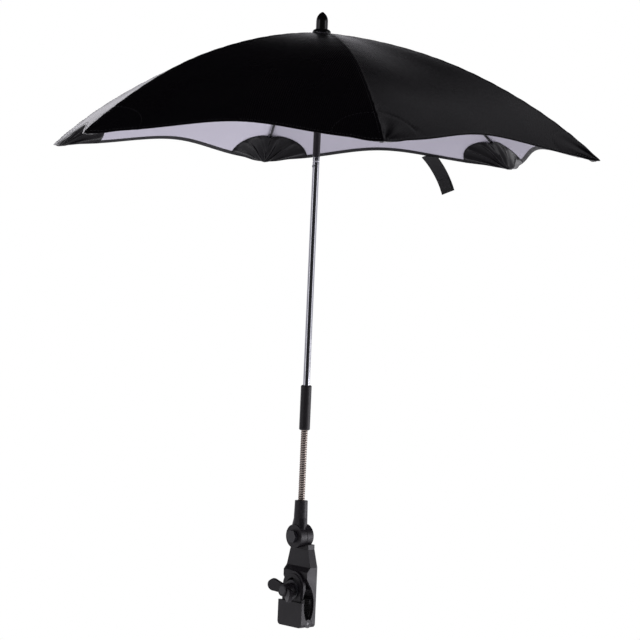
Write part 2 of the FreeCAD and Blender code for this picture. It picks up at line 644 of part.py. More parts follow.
def mast():
    chamfer = dim.sleeve_chamfer
    seat_top = dim.sleeve_seat_depth
    tube_seat = seat_top + 2 * dim.sleeve_chamfer
    neck_bore = dim.gooseneck_radius + dim.running_fit
    sleeve = turned(
        [
            (neck_bore, 0), (dim.sleeve_radius - chamfer, 0), (dim.sleeve_radius, chamfer),
            (dim.sleeve_radius, dim.sleeve_length - chamfer),
            (dim.sleeve_radius - chamfer, dim.sleeve_length),
            (dim.lower_tube_radius, dim.sleeve_length), (dim.lower_tube_radius, tube_seat),
            (dim.gooseneck_bore, tube_seat), (dim.gooseneck_bore, seat_top + dim.clear_gap),
            (neck_bore, seat_top + dim.clear_gap),
        ],
        (0, 0, sleeve_foot),
    )
    subpart("sleeve", sleeve)

    tube_foot = sleeve_foot + tube_seat
    tube = cylinder(dim.lower_tube_radius, tube_top - tube_foot, (0, 0, tube_foot))
    tube_bore = cylinder(dim.lower_tube_radius - dim.tube_wall, tube_top - tube_foot, (0, 0, tube_foot))
    crimp_circle = dim.lower_tube_radius + dim.crimp_radius - dim.crimp_depth
    crimp = torus(crimp_circle, dim.crimp_radius, (0, 0, tube_top - dim.collar_spigot / 4))
    rivet_height = tube_top - dim.collar_spigot / 2
    rivet_reach = dim.lower_tube_radius - dim.upper_tube_radius - 2 * dim.running_fit
    rivet_place = (0, -dim.lower_tube_radius, rivet_height)
    rivet_room = cylinder(dim.rivet_radius, rivet_reach, rivet_place, "y")
    subpart("lower_tube", cut(tube, tube_bore, crimp, rivet_room))

    slide_bore = dim.upper_tube_radius + dim.running_fit / 2
    spigot = dim.lower_tube_radius - dim.tube_wall
    rim_radius = dim.collar_radius + dim.collar_rim
    rim_foot = dim.collar_length - 3 * dim.collar_rim
    collar = turned(
        [
            (slide_bore, -dim.collar_spigot), (spigot, -dim.collar_spigot), (spigot, 0),
            (dim.collar_radius, 0),
            (dim.collar_radius, rim_foot), (rim_radius, rim_foot), (rim_radius, dim.collar_length),
            (slide_bore, dim.collar_length),
        ],
        (0, 0, tube_top),
    )
    collar_hole = cylinder(dim.rivet_radius, rivet_reach, rivet_place, "y")
    subpart("collar", cut(collar, collar_hole))
    stem = cylinder(dim.rivet_radius, rivet_reach, rivet_place, "y")
    head_place = (0, -dim.lower_tube_radius - dim.rivet_head, rivet_height)
    head = cylinder(1.5 * dim.rivet_radius, 2 * dim.rivet_head, head_place, "y")
    tube_place = (0, 0, rivet_height - 2 * dim.rivet_radius)
    tube_round = cylinder(dim.lower_tube_radius, 4 * dim.rivet_radius, tube_place)
    subpart("collar_rivet", fuse(cut(head, tube_round), stem))

    upper_foot = collar_top - dim.telescope_overlap
    upper_length = finial_foot + dim.finial_seat_depth - upper_foot
    upper = cylinder(dim.upper_tube_radius, upper_length, (0, 0, upper_foot))
    upper_bore = cylinder(dim.upper_tube_radius - dim.tube_wall, upper_length, (0, 0, upper_foot))
    subpart("upper_tube", cut(upper, upper_bore))


# Canopy frame
def radial_slots(inner, reach, foot, height):
    """One slot for each rib, from an inner radius outwards."""
    slots = []
    for number in range(1, RIB_COUNT + 1):
        slot = primitive("Box", (0, 0, 0), TURNS["z"], Length=reach, Width=slot_width, Height=height)
        turn = azimuth_turn(number)
        start = turn.multVec(FreeCAD.Vector(1, 0, 0))
        across = turn.multVec(FreeCAD.Vector(0, 1, 0))
        half_slot = slot_width / 2
        at = (start.x * inner - across.x * half_slot, start.y * inner - across.y * half_slot, foot)
        slots.append(place(slot, at, turn))
    return slots


def crown():
    foot = hinge_height + dim.crown_cover - dim.crown_wall
    hub = cylinder(dim.crown_radius, dim.crown_wall, (0, 0, foot))
    bore = cylinder(dim.upper_tube_radius, dim.crown_wall, (0, 0, foot))
    wire_room = torus(dim.hinge_circle, dim.wire_radius, (0, 0, hinge_height))
    slot_start = dim.hinge_circle - dim.rib_eye_radius - dim.clear_gap
    slots = radial_slots(slot_start, dim.crown_radius, foot, dim.crown_wall)
    subpart("crown", cut(hub, bore, wire_room, *slots))
    subpart("crown_wire", torus(dim.hinge_circle, dim.wire_radius, (0, 0, hinge_height)))


def runner():
    roof_top = runner_height + dim.runner_roof
    foot = runner_height - dim.runner_skirt
    flange = cylinder(dim.runner_radius, roof_top - foot, (0, 0, foot))
    barrel_foot = foot - dim.runner_sleeve_length
    barrel = cylinder(dim.runner_sleeve_radius, dim.runner_sleeve_length, (0, 0, barrel_foot))
    bore = cylinder(dim.runner_bore, roof_top - barrel_foot, (0, 0, barrel_foot))
    # the trunnions lie in a ring-shaped groove that is open below
    room = dim.trunnion_radius + dim.clear_gap
    groove_height = dim.runner_skirt + room
    corner = hypotenuse(dim.hinge_circle + dim.trunnion_radius, dim.trunnion_length / 2)
    groove = cylinder(corner + dim.swing_gap, groove_height, (0, 0, foot))
    core = cylinder(dim.hinge_circle - room, groove_height, (0, 0, foot))
    slots = radial_slots(dim.hinge_circle - room, dim.runner_radius, foot, roof_top - foot)
    subpart("runner", cut(fuse(flange, barrel), bore, cut(groove, core), *slots))


def rib(number):
    """A bent rod with an eye on the crown's wire and a lug for the stretcher."""
    cap_turn = dim.tip_cap_length / 2 / dim.rib_bend * (180 / math.pi)
    rod = primitive(
        "Torus", (0, 0, 0), TURNS["z"], Radius1=dim.rib_bend, Radius2=dim.rib_radius,
        Angle3=dim.rib_end_slope - dim.rib_start_slope - cap_turn,
    )
    place(rod, (bend_out, 0, bend_height), slope_turn(plain(dim.rib_start_slope)))
    eye_place = (dim.hinge_circle, -dim.rib_radius, hinge_height)
    eye = cylinder(dim.rib_eye_radius, 2 * dim.rib_radius, eye_place, "y")
    eye_hole = cylinder(dim.wire_radius + dim.clear_gap, 2 * dim.rib_radius, eye_place, "y")
    lug_place = (joint_reach, -dim.rib_lug_wall / 2, joint_height)
    lug_eye = cylinder(dim.joint_eye_radius, dim.rib_lug_wall, lug_place, "y")
    lug_slope = math.asin(plain(joint_reach - bend_out) / plain(dim.rib_bend))
    lug_top = bend_height + dim.rib_bend * math.cos(lug_slope)
    lug_size = (2 * dim.joint_eye_radius, dim.rib_lug_wall, lug_top - joint_height)
    rivet_hole = cylinder(dim.joint_pin_radius, dim.rib_lug_wall, lug_place, "y")
    solid = cut(fuse(rod, eye, block(lug_size, lug_place), lug_eye), eye_hole, rivet_hole)
    at_rib(f"rib_{number}", number, solid)


def rib_tip(number):
    """A round-ended cap, bored half through for the rib's end."""
    bore = dim.rib_radius + dim.running_fit
    half_cap = dim.tip_cap_length / 2
    slope = math.radians(plain(dim.rib_end_slope)) - plain(half_cap / dim.rib_bend)
    turn = azimuth_turn(number)
    cap = turned(
        [
            (bore, -half_cap), (dim.tip_cap_radius, -half_cap),
            (dim.tip_cap_radius, half_cap - dim.tip_cap_radius),
            (0, half_cap, dim.tip_cap_radius), (0, 0), (bore, 0),
        ],
        turn.multVec(rib_point(slope)),
        turn * FreeCAD.Rotation(Y_AXIS, 90 + math.degrees(slope)),
    )
    subpart(f"rib_tip_{number}", cap)


def stretcher(number):
    """A strut, drawn along X from its trunnion to the fork on the rib's lug."""
    length = dim.joint_distance
    fork_start = length - dim.fork_length
    rod = cylinder(dim.stretcher_radius, fork_start, (0, 0, 0), "x")
    trunnion = cylinder(dim.trunnion_radius, dim.trunnion_length, (0, -dim.trunnion_length / 2, 0), "y")
    yoke_size = (dim.fork_length + dim.fork_wall, 2 * fork_outer, 2 * dim.stretcher_radius)
    yoke = block(yoke_size, (length - yoke_size[0] / 2, -fork_outer, -dim.stretcher_radius))
    eye = cylinder(dim.joint_eye_radius, 2 * fork_outer, (length, -fork_outer, 0), "y")
    mouth = block(
        (2 * dim.fork_length, 2 * fork_inner, 4 * dim.joint_eye_radius),
        (length, -fork_inner, -2 * dim.joint_eye_radius),
    )
    way_radius = dim.joint_pin_radius + dim.running_fit
    rivet_way = cylinder(way_radius, 2 * fork_outer, (length, -fork_outer, 0), "y")
    strut = cut(fuse(rod, trunnion, yoke, eye), mouth, rivet_way)
    turn = azimuth_turn(number)
    outward = turn.multVec(X_AXIS)
    rise = FreeCAD.Rotation(Y_AXIS, -plain(joint_drop_angle))
    place(strut, (dim.hinge_circle * outward.x, dim.hinge_circle * outward.y, runner_height), turn * rise)
    subpart(f"stretcher_{number}", strut)


def joint_rivet(number):
    """The rivet through fork and lug, with a head outside each cheek."""
    grip = fork_outer + dim.running_fit
    pin = cylinder(dim.joint_pin_radius, 2 * grip, (joint_reach, -grip, joint_height), "y")
    head_radius = (dim.joint_pin_radius + dim.joint_eye_radius) / 2
    heads = [
        cylinder(head_radius, dim.joint_head, (joint_reach, start, joint_height), "y")
        for start in (grip, -grip - dim.joint_head)
    ]
    at_rib(f"joint_rivet_{number}", number, fuse(pin, *heads))


def finial():
    barrel_top = dim.finial_flange + dim.finial_barrel
    nose_top = barrel_top + dim.finial_nose
    nose_radius = arc_radius(dim.finial_radius - dim.finial_tip_radius, dim.finial_nose)
    tip_radius = arc_radius(dim.finial_tip, dim.finial_tip_radius)
    cap = turned(
        [
            (dim.upper_tube_radius, 0), (dim.finial_flange_radius, 0),
            (dim.finial_flange_radius, dim.finial_flange_edge),
            (dim.finial_radius, dim.finial_flange, dim.finial_dome), (dim.finial_radius, barrel_top),
            (dim.finial_tip_radius, nose_top, nose_radius), (0, nose_top + dim.finial_tip, tip_radius),
            (0, dim.finial_seat_depth), (dim.upper_tube_radius, dim.finial_seat_depth),
        ],
        (0, 0, finial_foot),
    )
    subpart("finial", cap)


# Canopy and strap
def hem_slope(spread):
    """The slope where the cloth ends: lowest at the ribs, and drawn up in a soft wave between them."""
    wave = (1 - math.cos(math.pi * spread / HALF_GORE)) / 2
    return math.radians(plain(dim.rib_end_slope)) - wave * plain(dim.hem_rise / dim.rib_bend)


def start_slope(lift):
    """The slope where the cloth begins, under the finial."""
    return math.asin(plain(dim.cloth_start - bend_out) / (plain(dim.rib_bend) + lift))


def cloth_section(spread, shift):
    """The cut through the cloth in one radial plane, moved sideways by shift."""
    across = FreeCAD.Vector(-math.sin(spread), math.cos(spread), 0) * shift
    edges = []
    corners = []
    for lift in (plain(cloth_under), plain(cloth_top)):
        first, last = start_slope(lift), hem_slope(spread)
        points = [rib_point(slope, lift, spread) + across for slope in (first, (first + last) / 2, last)]
        edges.append(Part.Arc(*points).toShape())
        corners.append((points[0], points[-1]))
    (low_start, low_end), (high_start, high_end) = corners
    hem = Part.LineSegment(low_end, high_end).toShape()
    top = Part.LineSegment(high_start, low_start).toShape()
    return Part.Wire([edges[0], hem, edges[1], top])


def canopy_panel(number):
    """The cloth from the middle of one gore to the middle of the next, drawn over a rib."""
    half_gap_between = plain(dim.panel_gap) / 2
    sections = []
    for step in range(PANEL_SECTIONS):
        spread = HALF_GORE * (2 * step / (PANEL_SECTIONS - 1) - 1)
        edge_side = {0: 1, PANEL_SECTIONS - 1: -1}.get(step, 0)
        sections.append(cloth_section(spread, edge_side * half_gap_between))
    panel = doc.addObject("Part::Feature", "Panel")
    panel.Shape = Part.makeLoft(sections, True, True)
    at_rib(f"canopy_panel_{number}", number, panel)


def curled_band(radius, wall, width, begin, length, centre):
    """A strip bent round an axis across the rib, from one angle on."""
    angle = length / dim.strap_curl * (180 / math.pi)
    turn = slope_turn(math.degrees(begin))
    start = (centre.x, centre.y - width / 2, centre.z)
    band = primitive("Cylinder", start, turn, Radius=radius + wall, Height=width, Angle=angle)
    return cut(band, cylinder(radius, width, start, "y"))


def strap():
    """The tie on the inside of the hem, which carries on the cloth's slope and curls down."""
    spread = math.radians(plain(dim.strap_place))
    end = hem_slope(spread)
    lift = plain(cloth_under - dim.swing_gap)
    # squared up to the middle of the gore, the cloth runs straight across
    square_up = FreeCAD.Rotation(Z_AXIS, -math.degrees(HALF_GORE))
    hem = square_up.multVec(rib_point(end, lift, spread))
    inward = square_up.multVec(rib_point(end - plain(dim.strap_overlap / dim.rib_bend), lift, spread))
    slope = math.atan2(inward.z - hem.z, hem.x - inward.x)
    outer = plain(dim.strap_curl + dim.strap_wall)
    centre = inward - FreeCAD.Vector(outer * math.sin(slope), 0, outer * math.cos(slope))
    normal = FreeCAD.Vector(math.sin(slope), 0, math.cos(slope))
    lean = FreeCAD.Placement(FreeCAD.Vector(), FreeCAD.Rotation(normal, -plain(dim.strap_lean)), hem)
    turn = FreeCAD.Placement(FreeCAD.Vector(), azimuth_turn(STRAP_RIB) * square_up.inverted())
    band = curled_band(dim.strap_curl, dim.strap_wall, dim.strap_width, slope, dim.strap_length, centre)
    band.Placement = turn * lean
    subpart("closure_strap", band)
    pad_start = dim.strap_length - dim.hook_pad_length - dim.hook_pad_margin
    pad_slope = slope + plain(pad_start / dim.strap_curl)
    pad_radius = dim.strap_curl - dim.hook_pad_wall
    pad_size = (dim.hook_pad_wall, dim.hook_pad_width, pad_slope, dim.hook_pad_length)
    pad = curled_band(pad_radius, *pad_size, centre)
    pad.Placement = turn * lean
    subpart("strap_hook_pad", pad)


for make in (clamp_body, front_jaw, clamp_fittings, wing_screw, knuckle, socket, gooseneck, mast):
    make()
for make in (crown, runner, finial, strap):
    make()
for rib_number in range(1, RIB_COUNT + 1):
    for make in (rib, rib_tip, stretcher, joint_rivet, canopy_panel):
        make(rib_number)

doc.recompute()
failed = [o.Label for o in doc.Objects if "Invalid" in o.State or "Error" in o.State]
if failed:
    raise RuntimeError(f"objects that failed: {failed}")
os.makedirs("parts", exist_ok=True)
for obj in subparts:
    if obj.Shape.isNull() or not obj.Shape.isValid():
        raise RuntimeError(f"{obj.Label} has no valid shape")
    obj.Shape.exportStep(f"parts/{obj.Label}.step")
    print(obj.Label, round(obj.Shape.Volume, 1), len(obj.Shape.Solids))
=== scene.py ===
"""Pram parasol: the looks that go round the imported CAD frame.

Metres, +Z up. The origin is the middle of the clamp's tube seat and the mast stands on the Z axis.
Rib 1 points to -Y, and the other ribs follow anticlockwise, seen from above.
"""
import itertools
import json
import logging
import math
from dataclasses import dataclass, field
from enum import Enum
from typing import Any

import bpy
import numpy as np
from mathutils import Matrix, Vector

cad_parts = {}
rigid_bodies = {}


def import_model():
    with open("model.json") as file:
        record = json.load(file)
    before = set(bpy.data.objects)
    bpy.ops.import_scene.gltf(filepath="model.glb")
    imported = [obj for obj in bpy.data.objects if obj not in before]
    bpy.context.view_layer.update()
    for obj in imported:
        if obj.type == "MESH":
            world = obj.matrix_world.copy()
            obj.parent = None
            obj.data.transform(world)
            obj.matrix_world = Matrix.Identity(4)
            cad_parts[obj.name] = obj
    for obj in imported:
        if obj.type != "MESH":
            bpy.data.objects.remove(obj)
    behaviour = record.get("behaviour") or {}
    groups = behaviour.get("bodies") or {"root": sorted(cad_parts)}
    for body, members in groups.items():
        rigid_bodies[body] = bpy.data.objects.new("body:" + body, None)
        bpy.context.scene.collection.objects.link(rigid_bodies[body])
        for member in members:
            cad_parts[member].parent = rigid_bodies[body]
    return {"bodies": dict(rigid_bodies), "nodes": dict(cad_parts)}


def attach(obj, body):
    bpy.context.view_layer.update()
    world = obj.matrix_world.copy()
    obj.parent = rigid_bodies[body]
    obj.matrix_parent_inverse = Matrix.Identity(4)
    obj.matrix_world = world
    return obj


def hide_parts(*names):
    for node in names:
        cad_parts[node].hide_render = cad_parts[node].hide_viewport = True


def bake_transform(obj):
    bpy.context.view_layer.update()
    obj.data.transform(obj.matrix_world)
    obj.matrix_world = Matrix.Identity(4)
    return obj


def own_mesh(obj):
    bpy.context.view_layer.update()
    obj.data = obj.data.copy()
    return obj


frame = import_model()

Array = np.ndarray
Values = np.ndarray | float
Tree = bpy.types.NodeTree
Socket = bpy.types.NodeSocket
Looks = dict[str, Socket]

LOG = logging.getLogger("pram_parasol")
MM = 0.001
RIB_COUNT = 6
RIBS = range(1, RIB_COUNT + 1)
WEAVE_MAP = "weave"
# A Wave Texture goes through 20 radians in each unit of its scale
WAVE_RADIANS = 20.0
# Most values of a noise lie between these two
NOISE_RANGE = (0.3, 0.7)
GRAIN_DETAIL = 2.0
CLOUD_DETAIL = 3.0
MARK_DETAIL = 4.0
BEVEL_SAMPLES = 6
# The Mix node's sockets: its factor, then its two inputs and its output for numbers and for colours
MIX_FACTOR = 0
NUMBER_A, NUMBER_B, NUMBER_OUT = 2, 3, 0
COLOUR_A, COLOUR_B, COLOUR_OUT = 6, 7, 2
# Keeps the angle of a point that lies on a rib's tip defined
TINY = 1e-9


class Slot(Enum):
    """The record's material slots."""

    BLACK_PLASTIC = "black_plastic"
    GLOSS_PLASTIC = "gloss_plastic"
    RUBBER = "rubber"
    CHROME = "chrome"
    ZINC = "zinc"
    BLACK_STEEL = "black_steel"
    RIB_PAINT = "rib_paint"
    CANOPY_CLOTH = "canopy_cloth"
    STRAP_CLOTH = "strap_cloth"


class Face(Enum):
    """The two faces of the cloth; the value is the way its normal points."""

    OUTER = 1.0
    INNER = -1.0


class Side(Enum):
    """The halves of a share of cloth, on both sides of its rib as seen from outside."""

    LEFT = -1
    RIGHT = 1


def linear(code: str) -> tuple[float, float, float, float]:
    """Turns an sRGB colour into the linear one that Blender works in.

    Args:
        code: The colour as six hex digits after a hash.

    Returns:
        Red, green and blue in linear light, with an alpha of 1.
    """
    channels = [int(code[at:at + 2], 16) / 255 for at in (1, 3, 5)]
    turned = [c / 12.92 if c <= 0.04045 else ((c + 0.055) / 1.055) ** 2.4 for c in channels]
    return (*turned, 1.0)


def per_metre(size: float) -> float:
    """Returns a noise scale whose features are about size millimetres wide."""
    return 1.0 / (size * MM)


def bands_per_metre(pitch: float) -> float:
    """Returns a Wave Texture scale whose bands repeat every pitch millimetres."""
    return 2 * math.pi / (WAVE_RADIANS * pitch * MM)


def empty_tree(owner: bpy.types.Material | bpy.types.World) -> Tree:
    """Turns on the nodes of a material or a world.

    Args:
        owner: The material or world.

    Returns:
        Its node tree, emptied.
    """
    owner.use_nodes = True
    owner.node_tree.nodes.clear()
    return owner.node_tree


def add_node(
    tree: Tree, kind: str, inputs: dict[str | int, Any] | None = None, **settings: Any
) -> bpy.types.Node:
    """Adds one shader node.

    Args:
        tree: The node tree that it goes into.
        kind: The node's type, without "ShaderNode".
        inputs: For each input, by name or number, the socket to link or the value to set.
        settings: The node's own properties.

    Returns:
        The node.
    """
    node = tree.nodes.new("ShaderNode" + kind)
    for name, value in settings.items():
        setattr(node, name, value)
    for name, value in (inputs or {}).items():
        if isinstance(value, Socket):
            tree.links.new(value, node.inputs[name])
        else:
            node.inputs[name].default_value = value
    return node


def linked(name: str, data: bpy.types.ID) -> bpy.types.Object:
    """Makes an object of a mesh, a lamp or a camera and links it into the scene.

    Args:
        name: The object's name.
        data: What it shows.

    Returns:
        The object.
    """
    made = bpy.data.objects.new(name, data)
    bpy.context.scene.collection.objects.link(made)
    return made


def stacked(*parts: Values) -> Array:
    """Returns the parts, spread to one shape, side by side along a new last axis."""
    return np.stack(np.broadcast_arrays(*parts), axis=-1)


def unit(vectors: Array) -> Array:
    """Returns the vectors at a length of 1."""
    return vectors / np.linalg.norm(vectors, axis=-1, keepdims=True)


def soft_step(value: Array) -> Array:
    """Returns a smooth step from 0 to 1 while the value goes from 0 to 1."""
    held = np.clip(value, 0.0, 1.0)
    return held * held * (3 - 2 * held)


def full_turn(count: int) -> Array:
    """Returns evenly spaced angles round a circle."""
    return 2 * math.pi * np.arange(count) / count


@dataclass(frozen=True)
class Finish:
    """A surface: what it is made of, how it was made, and what that gives the eye.

    The widths of the mottling and of the grain, and the height of the relief, are in millimetres. A grain
    that is too fine to show in the render is drawn coarser, at half a millimetre or more.
    """

    name: str
    colour: str
    shade: str
    roughness: tuple[float, float]
    mottle: float = 25.0
    grain: float = 0.8
    relief: float = 0.02
    metallic: float = 0.0
    ior: float = 1.5
    specular: float = 0.5
    sheen: float = 0.0
    sheen_roughness: float = 0.4

    def material(self) -> bpy.types.Material:
        """Makes the material at the first call.

        Returns:
            The material, the same one at each call.
        """
        made = bpy.data.materials.get(self.name)
        if made is not None:
            return made
        made = bpy.data.materials.new(self.name)
        tree = empty_tree(made)
        shader = add_node(tree, "BsdfPrincipled", {
            "Metallic": self.metallic, "IOR": self.ior, "Specular IOR Level": self.specular,
            "Sheen Weight": self.sheen, "Sheen Roughness": self.sheen_roughness,
        })
        add_node(tree, "OutputMaterial", {"Surface": shader.outputs["BSDF"]})
        for socket, source in self.detail(tree).items():
            tree.links.new(source, shader.inputs[socket])
        return made

    def uneven(self, tree: Tree, fac: Socket) -> Looks:
        """Spreads colour and roughness between their two ends.

        Args:
            tree: The material's node tree.
            fac: What spreads them, from 0 to 1.

        Returns:
            The sockets for the base colour and the roughness.
        """
        tint = add_node(tree, "Mix", {
            MIX_FACTOR: fac, COLOUR_A: linear(self.colour), COLOUR_B: linear(self.shade),
        }, data_type="RGBA")
        (least, most), (low, high) = NOISE_RANGE, self.roughness
        gloss = add_node(tree, "MapRange", {
            "Value": fac, "From Min": least, "From Max": most, "To Min": low, "To Max": high,
        })
        return {"Base Color": tint.outputs[COLOUR_OUT], "Roughness": gloss.outputs["Result"]}

    def bumped(self, tree: Tree, height: Socket, under: Socket | None = None) -> Socket:
        """Raises the surface by the finish's relief.

        Args:
            tree: The material's node tree.
            height: The height, from 0 to 1.
            under: The normal to start from.

        Returns:
            The socket for the normal.
        """
        inputs = {"Height": height, "Distance": self.relief * MM, "Strength": 1.0}
        if under is not None:
            inputs["Normal"] = under
        return add_node(tree, "Bump", inputs).outputs["Normal"]

    def clouds_and_grain(self, tree: Tree) -> tuple[Socket, Socket]:
        """Draws the slow clouds and the fine grain of a moulded surface, in the piece's own space.

        Args:
            tree: The material's node tree.

        Returns:
            The sockets of the clouds and of the grain, each from 0 to 1.
        """
        place = add_node(tree, "TexCoord").outputs["Object"]
        clouds = add_node(tree, "TexNoise", {
            "Vector": place, "Scale": per_metre(self.mottle), "Detail": CLOUD_DETAIL,
        })
        grain = add_node(tree, "TexNoise", {
            "Vector": place, "Scale": per_metre(self.grain), "Detail": GRAIN_DETAIL,
        })
        return clouds.outputs["Fac"], grain.outputs["Fac"]

    def detail(self, tree: Tree) -> Looks:
        """Draws clouded colour and a fine grain.

        Args:
            tree: The material's node tree.

        Returns:
            The socket for each of the shader's inputs that varies.
        """
        clouds, grain = self.clouds_and_grain(tree)
        return self.uneven(tree, clouds) | {"Normal": self.bumped(tree, grain)}


@dataclass(frozen=True)
class Moulding(Finish):
    """A moulded or painted finish with softened edges, which handling has rubbed paler.

    The edge is the radius of the softening in millimetres. An edge is worn where the softened face turns
    away from the flat one: the two cosines say where the wear begins and where it is full.
    """

    edge: float = 0.5
    rubbed: str = "#3a383d"
    wear: float = 0.7
    wear_cosines: tuple[float, float] = (0.98, 0.84)

    def detail(self, tree: Tree) -> Looks:
        """Draws clouded colour, grain, rounded edges and the wear along them.

        Args:
            tree: The material's node tree.

        Returns:
            The socket for each of the shader's inputs that varies.
        """
        clouds, grain = self.clouds_and_grain(tree)
        rounded = add_node(
            tree, "Bevel", {"Radius": self.edge * MM}, samples=BEVEL_SAMPLES
        ).outputs["Normal"]
        flat = add_node(tree, "NewGeometry").outputs["Normal"]
        facing = add_node(
            tree, "VectorMath", {0: rounded, 1: flat}, operation="DOT_PRODUCT"
        ).outputs["Value"]
        whole, bare = self.wear_cosines
        worn = add_node(tree, "MapRange", {
            "Value": facing, "From Min": whole, "From Max": bare, "To Min": 0.0, "To Max": self.wear,
        }).outputs["Result"]
        patchy = add_node(tree, "Math", {0: worn, 1: clouds}, operation="MULTIPLY").outputs["Value"]
        looks = self.uneven(tree, clouds)
        looks["Base Color"] = add_node(tree, "Mix", {
            MIX_FACTOR: patchy, COLOUR_A: looks["Base Color"], COLOUR_B: linear(self.rubbed),
        }, data_type="RGBA").outputs[COLOUR_OUT]
        looks["Normal"] = self.bumped(tree, grain, rounded)
        return looks


@dataclass(frozen=True)
class Plating(Finish):
    """Plated steel: drawn lines run along the tube, and finger marks dull it here and there."""

    stretch: float = 60.0

    def detail(self, tree: Tree) -> Looks:
        """Draws the lines that the drawing die leaves and the dull marks over them.

        Args:
            tree: The material's node tree.

        Returns:
            The socket for each of the shader's inputs that varies.
        """
        place = add_node(tree, "TexCoord").outputs["Object"]
        drawn_out = add_node(tree, "Mapping", {"Vector": place, "Scale": (1.0, 1.0, 1.0 / self.stretch)})
        lines = add_node(tree, "TexNoise", {
            "Vector": drawn_out.outputs["Vector"], "Scale": per_metre(self.grain), "Detail": GRAIN_DETAIL,
        })
        marks = add_node(tree, "TexNoise", {
            "Vector": place, "Scale": per_metre(self.mottle), "Detail": MARK_DETAIL,
        })
        looks = self.uneven(tree, marks.outputs["Fac"])
        return looks | {"Normal": self.bumped(tree, lines.outputs["Fac"])}


@dataclass(frozen=True)
class Weave(Finish):
    """A plain weave: warp over weft and weft over warp, square by square.

    The thread's width is in millimetres. Real threads are 0.1 to 0.3 mm wide, too fine to show in the
    render, so each weave is drawn about five to ten times coarser. The clouds' share says how much they
    tell beside the threads.
    """

    thread: float = 2.2
    cloud_share: float = 0.7

    def detail(self, tree: Tree) -> Looks:
        """Draws the threads from the cloth's own map, and faint clouds over them.

        Args:
            tree: The material's node tree.

        Returns:
            The socket for each of the shader's inputs that varies.
        """
        flat = add_node(tree, "UVMap", uv_map=WEAVE_MAP).outputs["UV"]
        pitch = bands_per_metre(self.thread)
        warp = add_node(tree, "TexWave", {"Vector": flat, "Scale": pitch}, bands_direction="X")
        weft = add_node(tree, "TexWave", {"Vector": flat, "Scale": pitch}, bands_direction="Y")
        above = add_node(tree, "TexChecker", {"Vector": flat, "Scale": per_metre(self.thread)})
        height = add_node(tree, "Mix", {
            MIX_FACTOR: above.outputs["Fac"],
            NUMBER_A: warp.outputs["Fac"], NUMBER_B: weft.outputs["Fac"],
        }, data_type="FLOAT").outputs[NUMBER_OUT]
        place = add_node(tree, "TexCoord").outputs["Object"]
        clouds = add_node(tree, "TexNoise", {
            "Vector": place, "Scale": per_metre(self.mottle), "Detail": MARK_DETAIL,
        })
        mixed = add_node(tree, "Mix", {
            MIX_FACTOR: self.cloud_share, NUMBER_A: height, NUMBER_B: clouds.outputs["Fac"],
        }, data_type="FLOAT").outputs[NUMBER_OUT]
        return self.uneven(tree, mixed) | {"Normal": self.bumped(tree, height)}


# ABS, moulded in a spark-eroded tool: a dull black pebble that spreads each highlight
MOULDED_ABS = Moulding(
    "abs_moulded_spark_black", "#0e0a0f", "#161217", (0.4, 0.52), grain=0.9, relief=0.03, specular=0.4,
)
# ABS from a polished tool: near-black with soft but clear highlights and a faint waviness
POLISHED_ABS = Moulding(
    "abs_moulded_polished_black", "#060506", "#0a090b", (0.16, 0.24), grain=6.0, relief=0.02, edge=0.3,
)
# Nitrile rubber, moulded: soot black, matt, with a fine tooth
MOULDED_RUBBER = Moulding(
    "nitrile_rubber_moulded", "#161516", "#1e1d1e", (0.7, 0.85), grain=0.7, relief=0.04, rubbed="#2e2d2e",
)
# Steel tube, drawn and chromed: a clear mirror with faint lines along it
CHROMED_TUBE = Plating(
    "steel_tube_chromed", "#c4c5c9", "#b2b3b8", (0.07, 0.16), mottle=40.0, relief=0.003, metallic=1.0,
)
# Steel strip, wound and nickel plated: a warmer and softer shine, with duller patches
NICKELLED_STRIP = Plating(
    "steel_strip_wound_nickelled", "#aba29c", "#85796f", (0.18, 0.3), mottle=9.0, relief=0.006,
    metallic=1.0, stretch=0.2,
)
# Steel fasteners, zinc plated: pale grey with a cloudy bloom
ZINC_FASTENERS = Plating(
    "steel_fastener_zinc_plated", "#a9abae", "#8b8d91", (0.3, 0.46), mottle=4.0, relief=0.01,
    metallic=1.0, stretch=1.0,
)
# Steel fasteners, heat blackened and oiled: a dark satin, rubbed to a paler grey on its edges
BLACKENED_STEEL = Moulding(
    "steel_fastener_black_oxide", "#17161a", "#222126", (0.3, 0.42), mottle=5.0, grain=1.2, relief=0.02,
    edge=0.25, rubbed="#5b5a60", ior=1.6,
)
# Steel wire, dip painted black: satin, with the slight orange peel of thick paint
PAINTED_WIRE = Moulding(
    "steel_wire_dip_painted", "#0a090b", "#121114", (0.3, 0.42), mottle=12.0, grain=2.0, relief=0.04,
    edge=0.2, rubbed="#4b4a4e",
)
# Polyester pongee, woven and calendered: close to black, with a silky shine where it is seen edge-on
OUTER_CLOTH = Weave(
    "polyester_pongee_woven_black", "#030204", "#060407", (0.22, 0.3), mottle=70.0, relief=0.03, ior=1.45,
)
# The same cloth's inside, knife coated in silver grey: pale, a little lavender, and dully shining
LINING = Weave(
    "polyester_pongee_silver_coated", "#d2cfd9", "#c3c0cb", (0.5, 0.62), mottle=60.0, relief=0.03,
    ior=1.45, specular=0.35,
)
# Polyester binding, woven as a narrow tape: black and dull, with a deeper weave than the cloth's
BINDING = Weave(
    "polyester_binding_woven_black", "#0b0a0c", "#141316", (0.5, 0.62), mottle=15.0, relief=0.06,
    thread=1.4, specular=0.35, sheen=0.03,
)
# Polyester satin, woven: black, with bright streaks along its folds
CORNER_SATIN = Weave(
    "polyester_satin_woven_black", "#040306", "#09070b", (0.18, 0.26), mottle=12.0, relief=0.04,
    thread=1.6, specular=0.14,
)
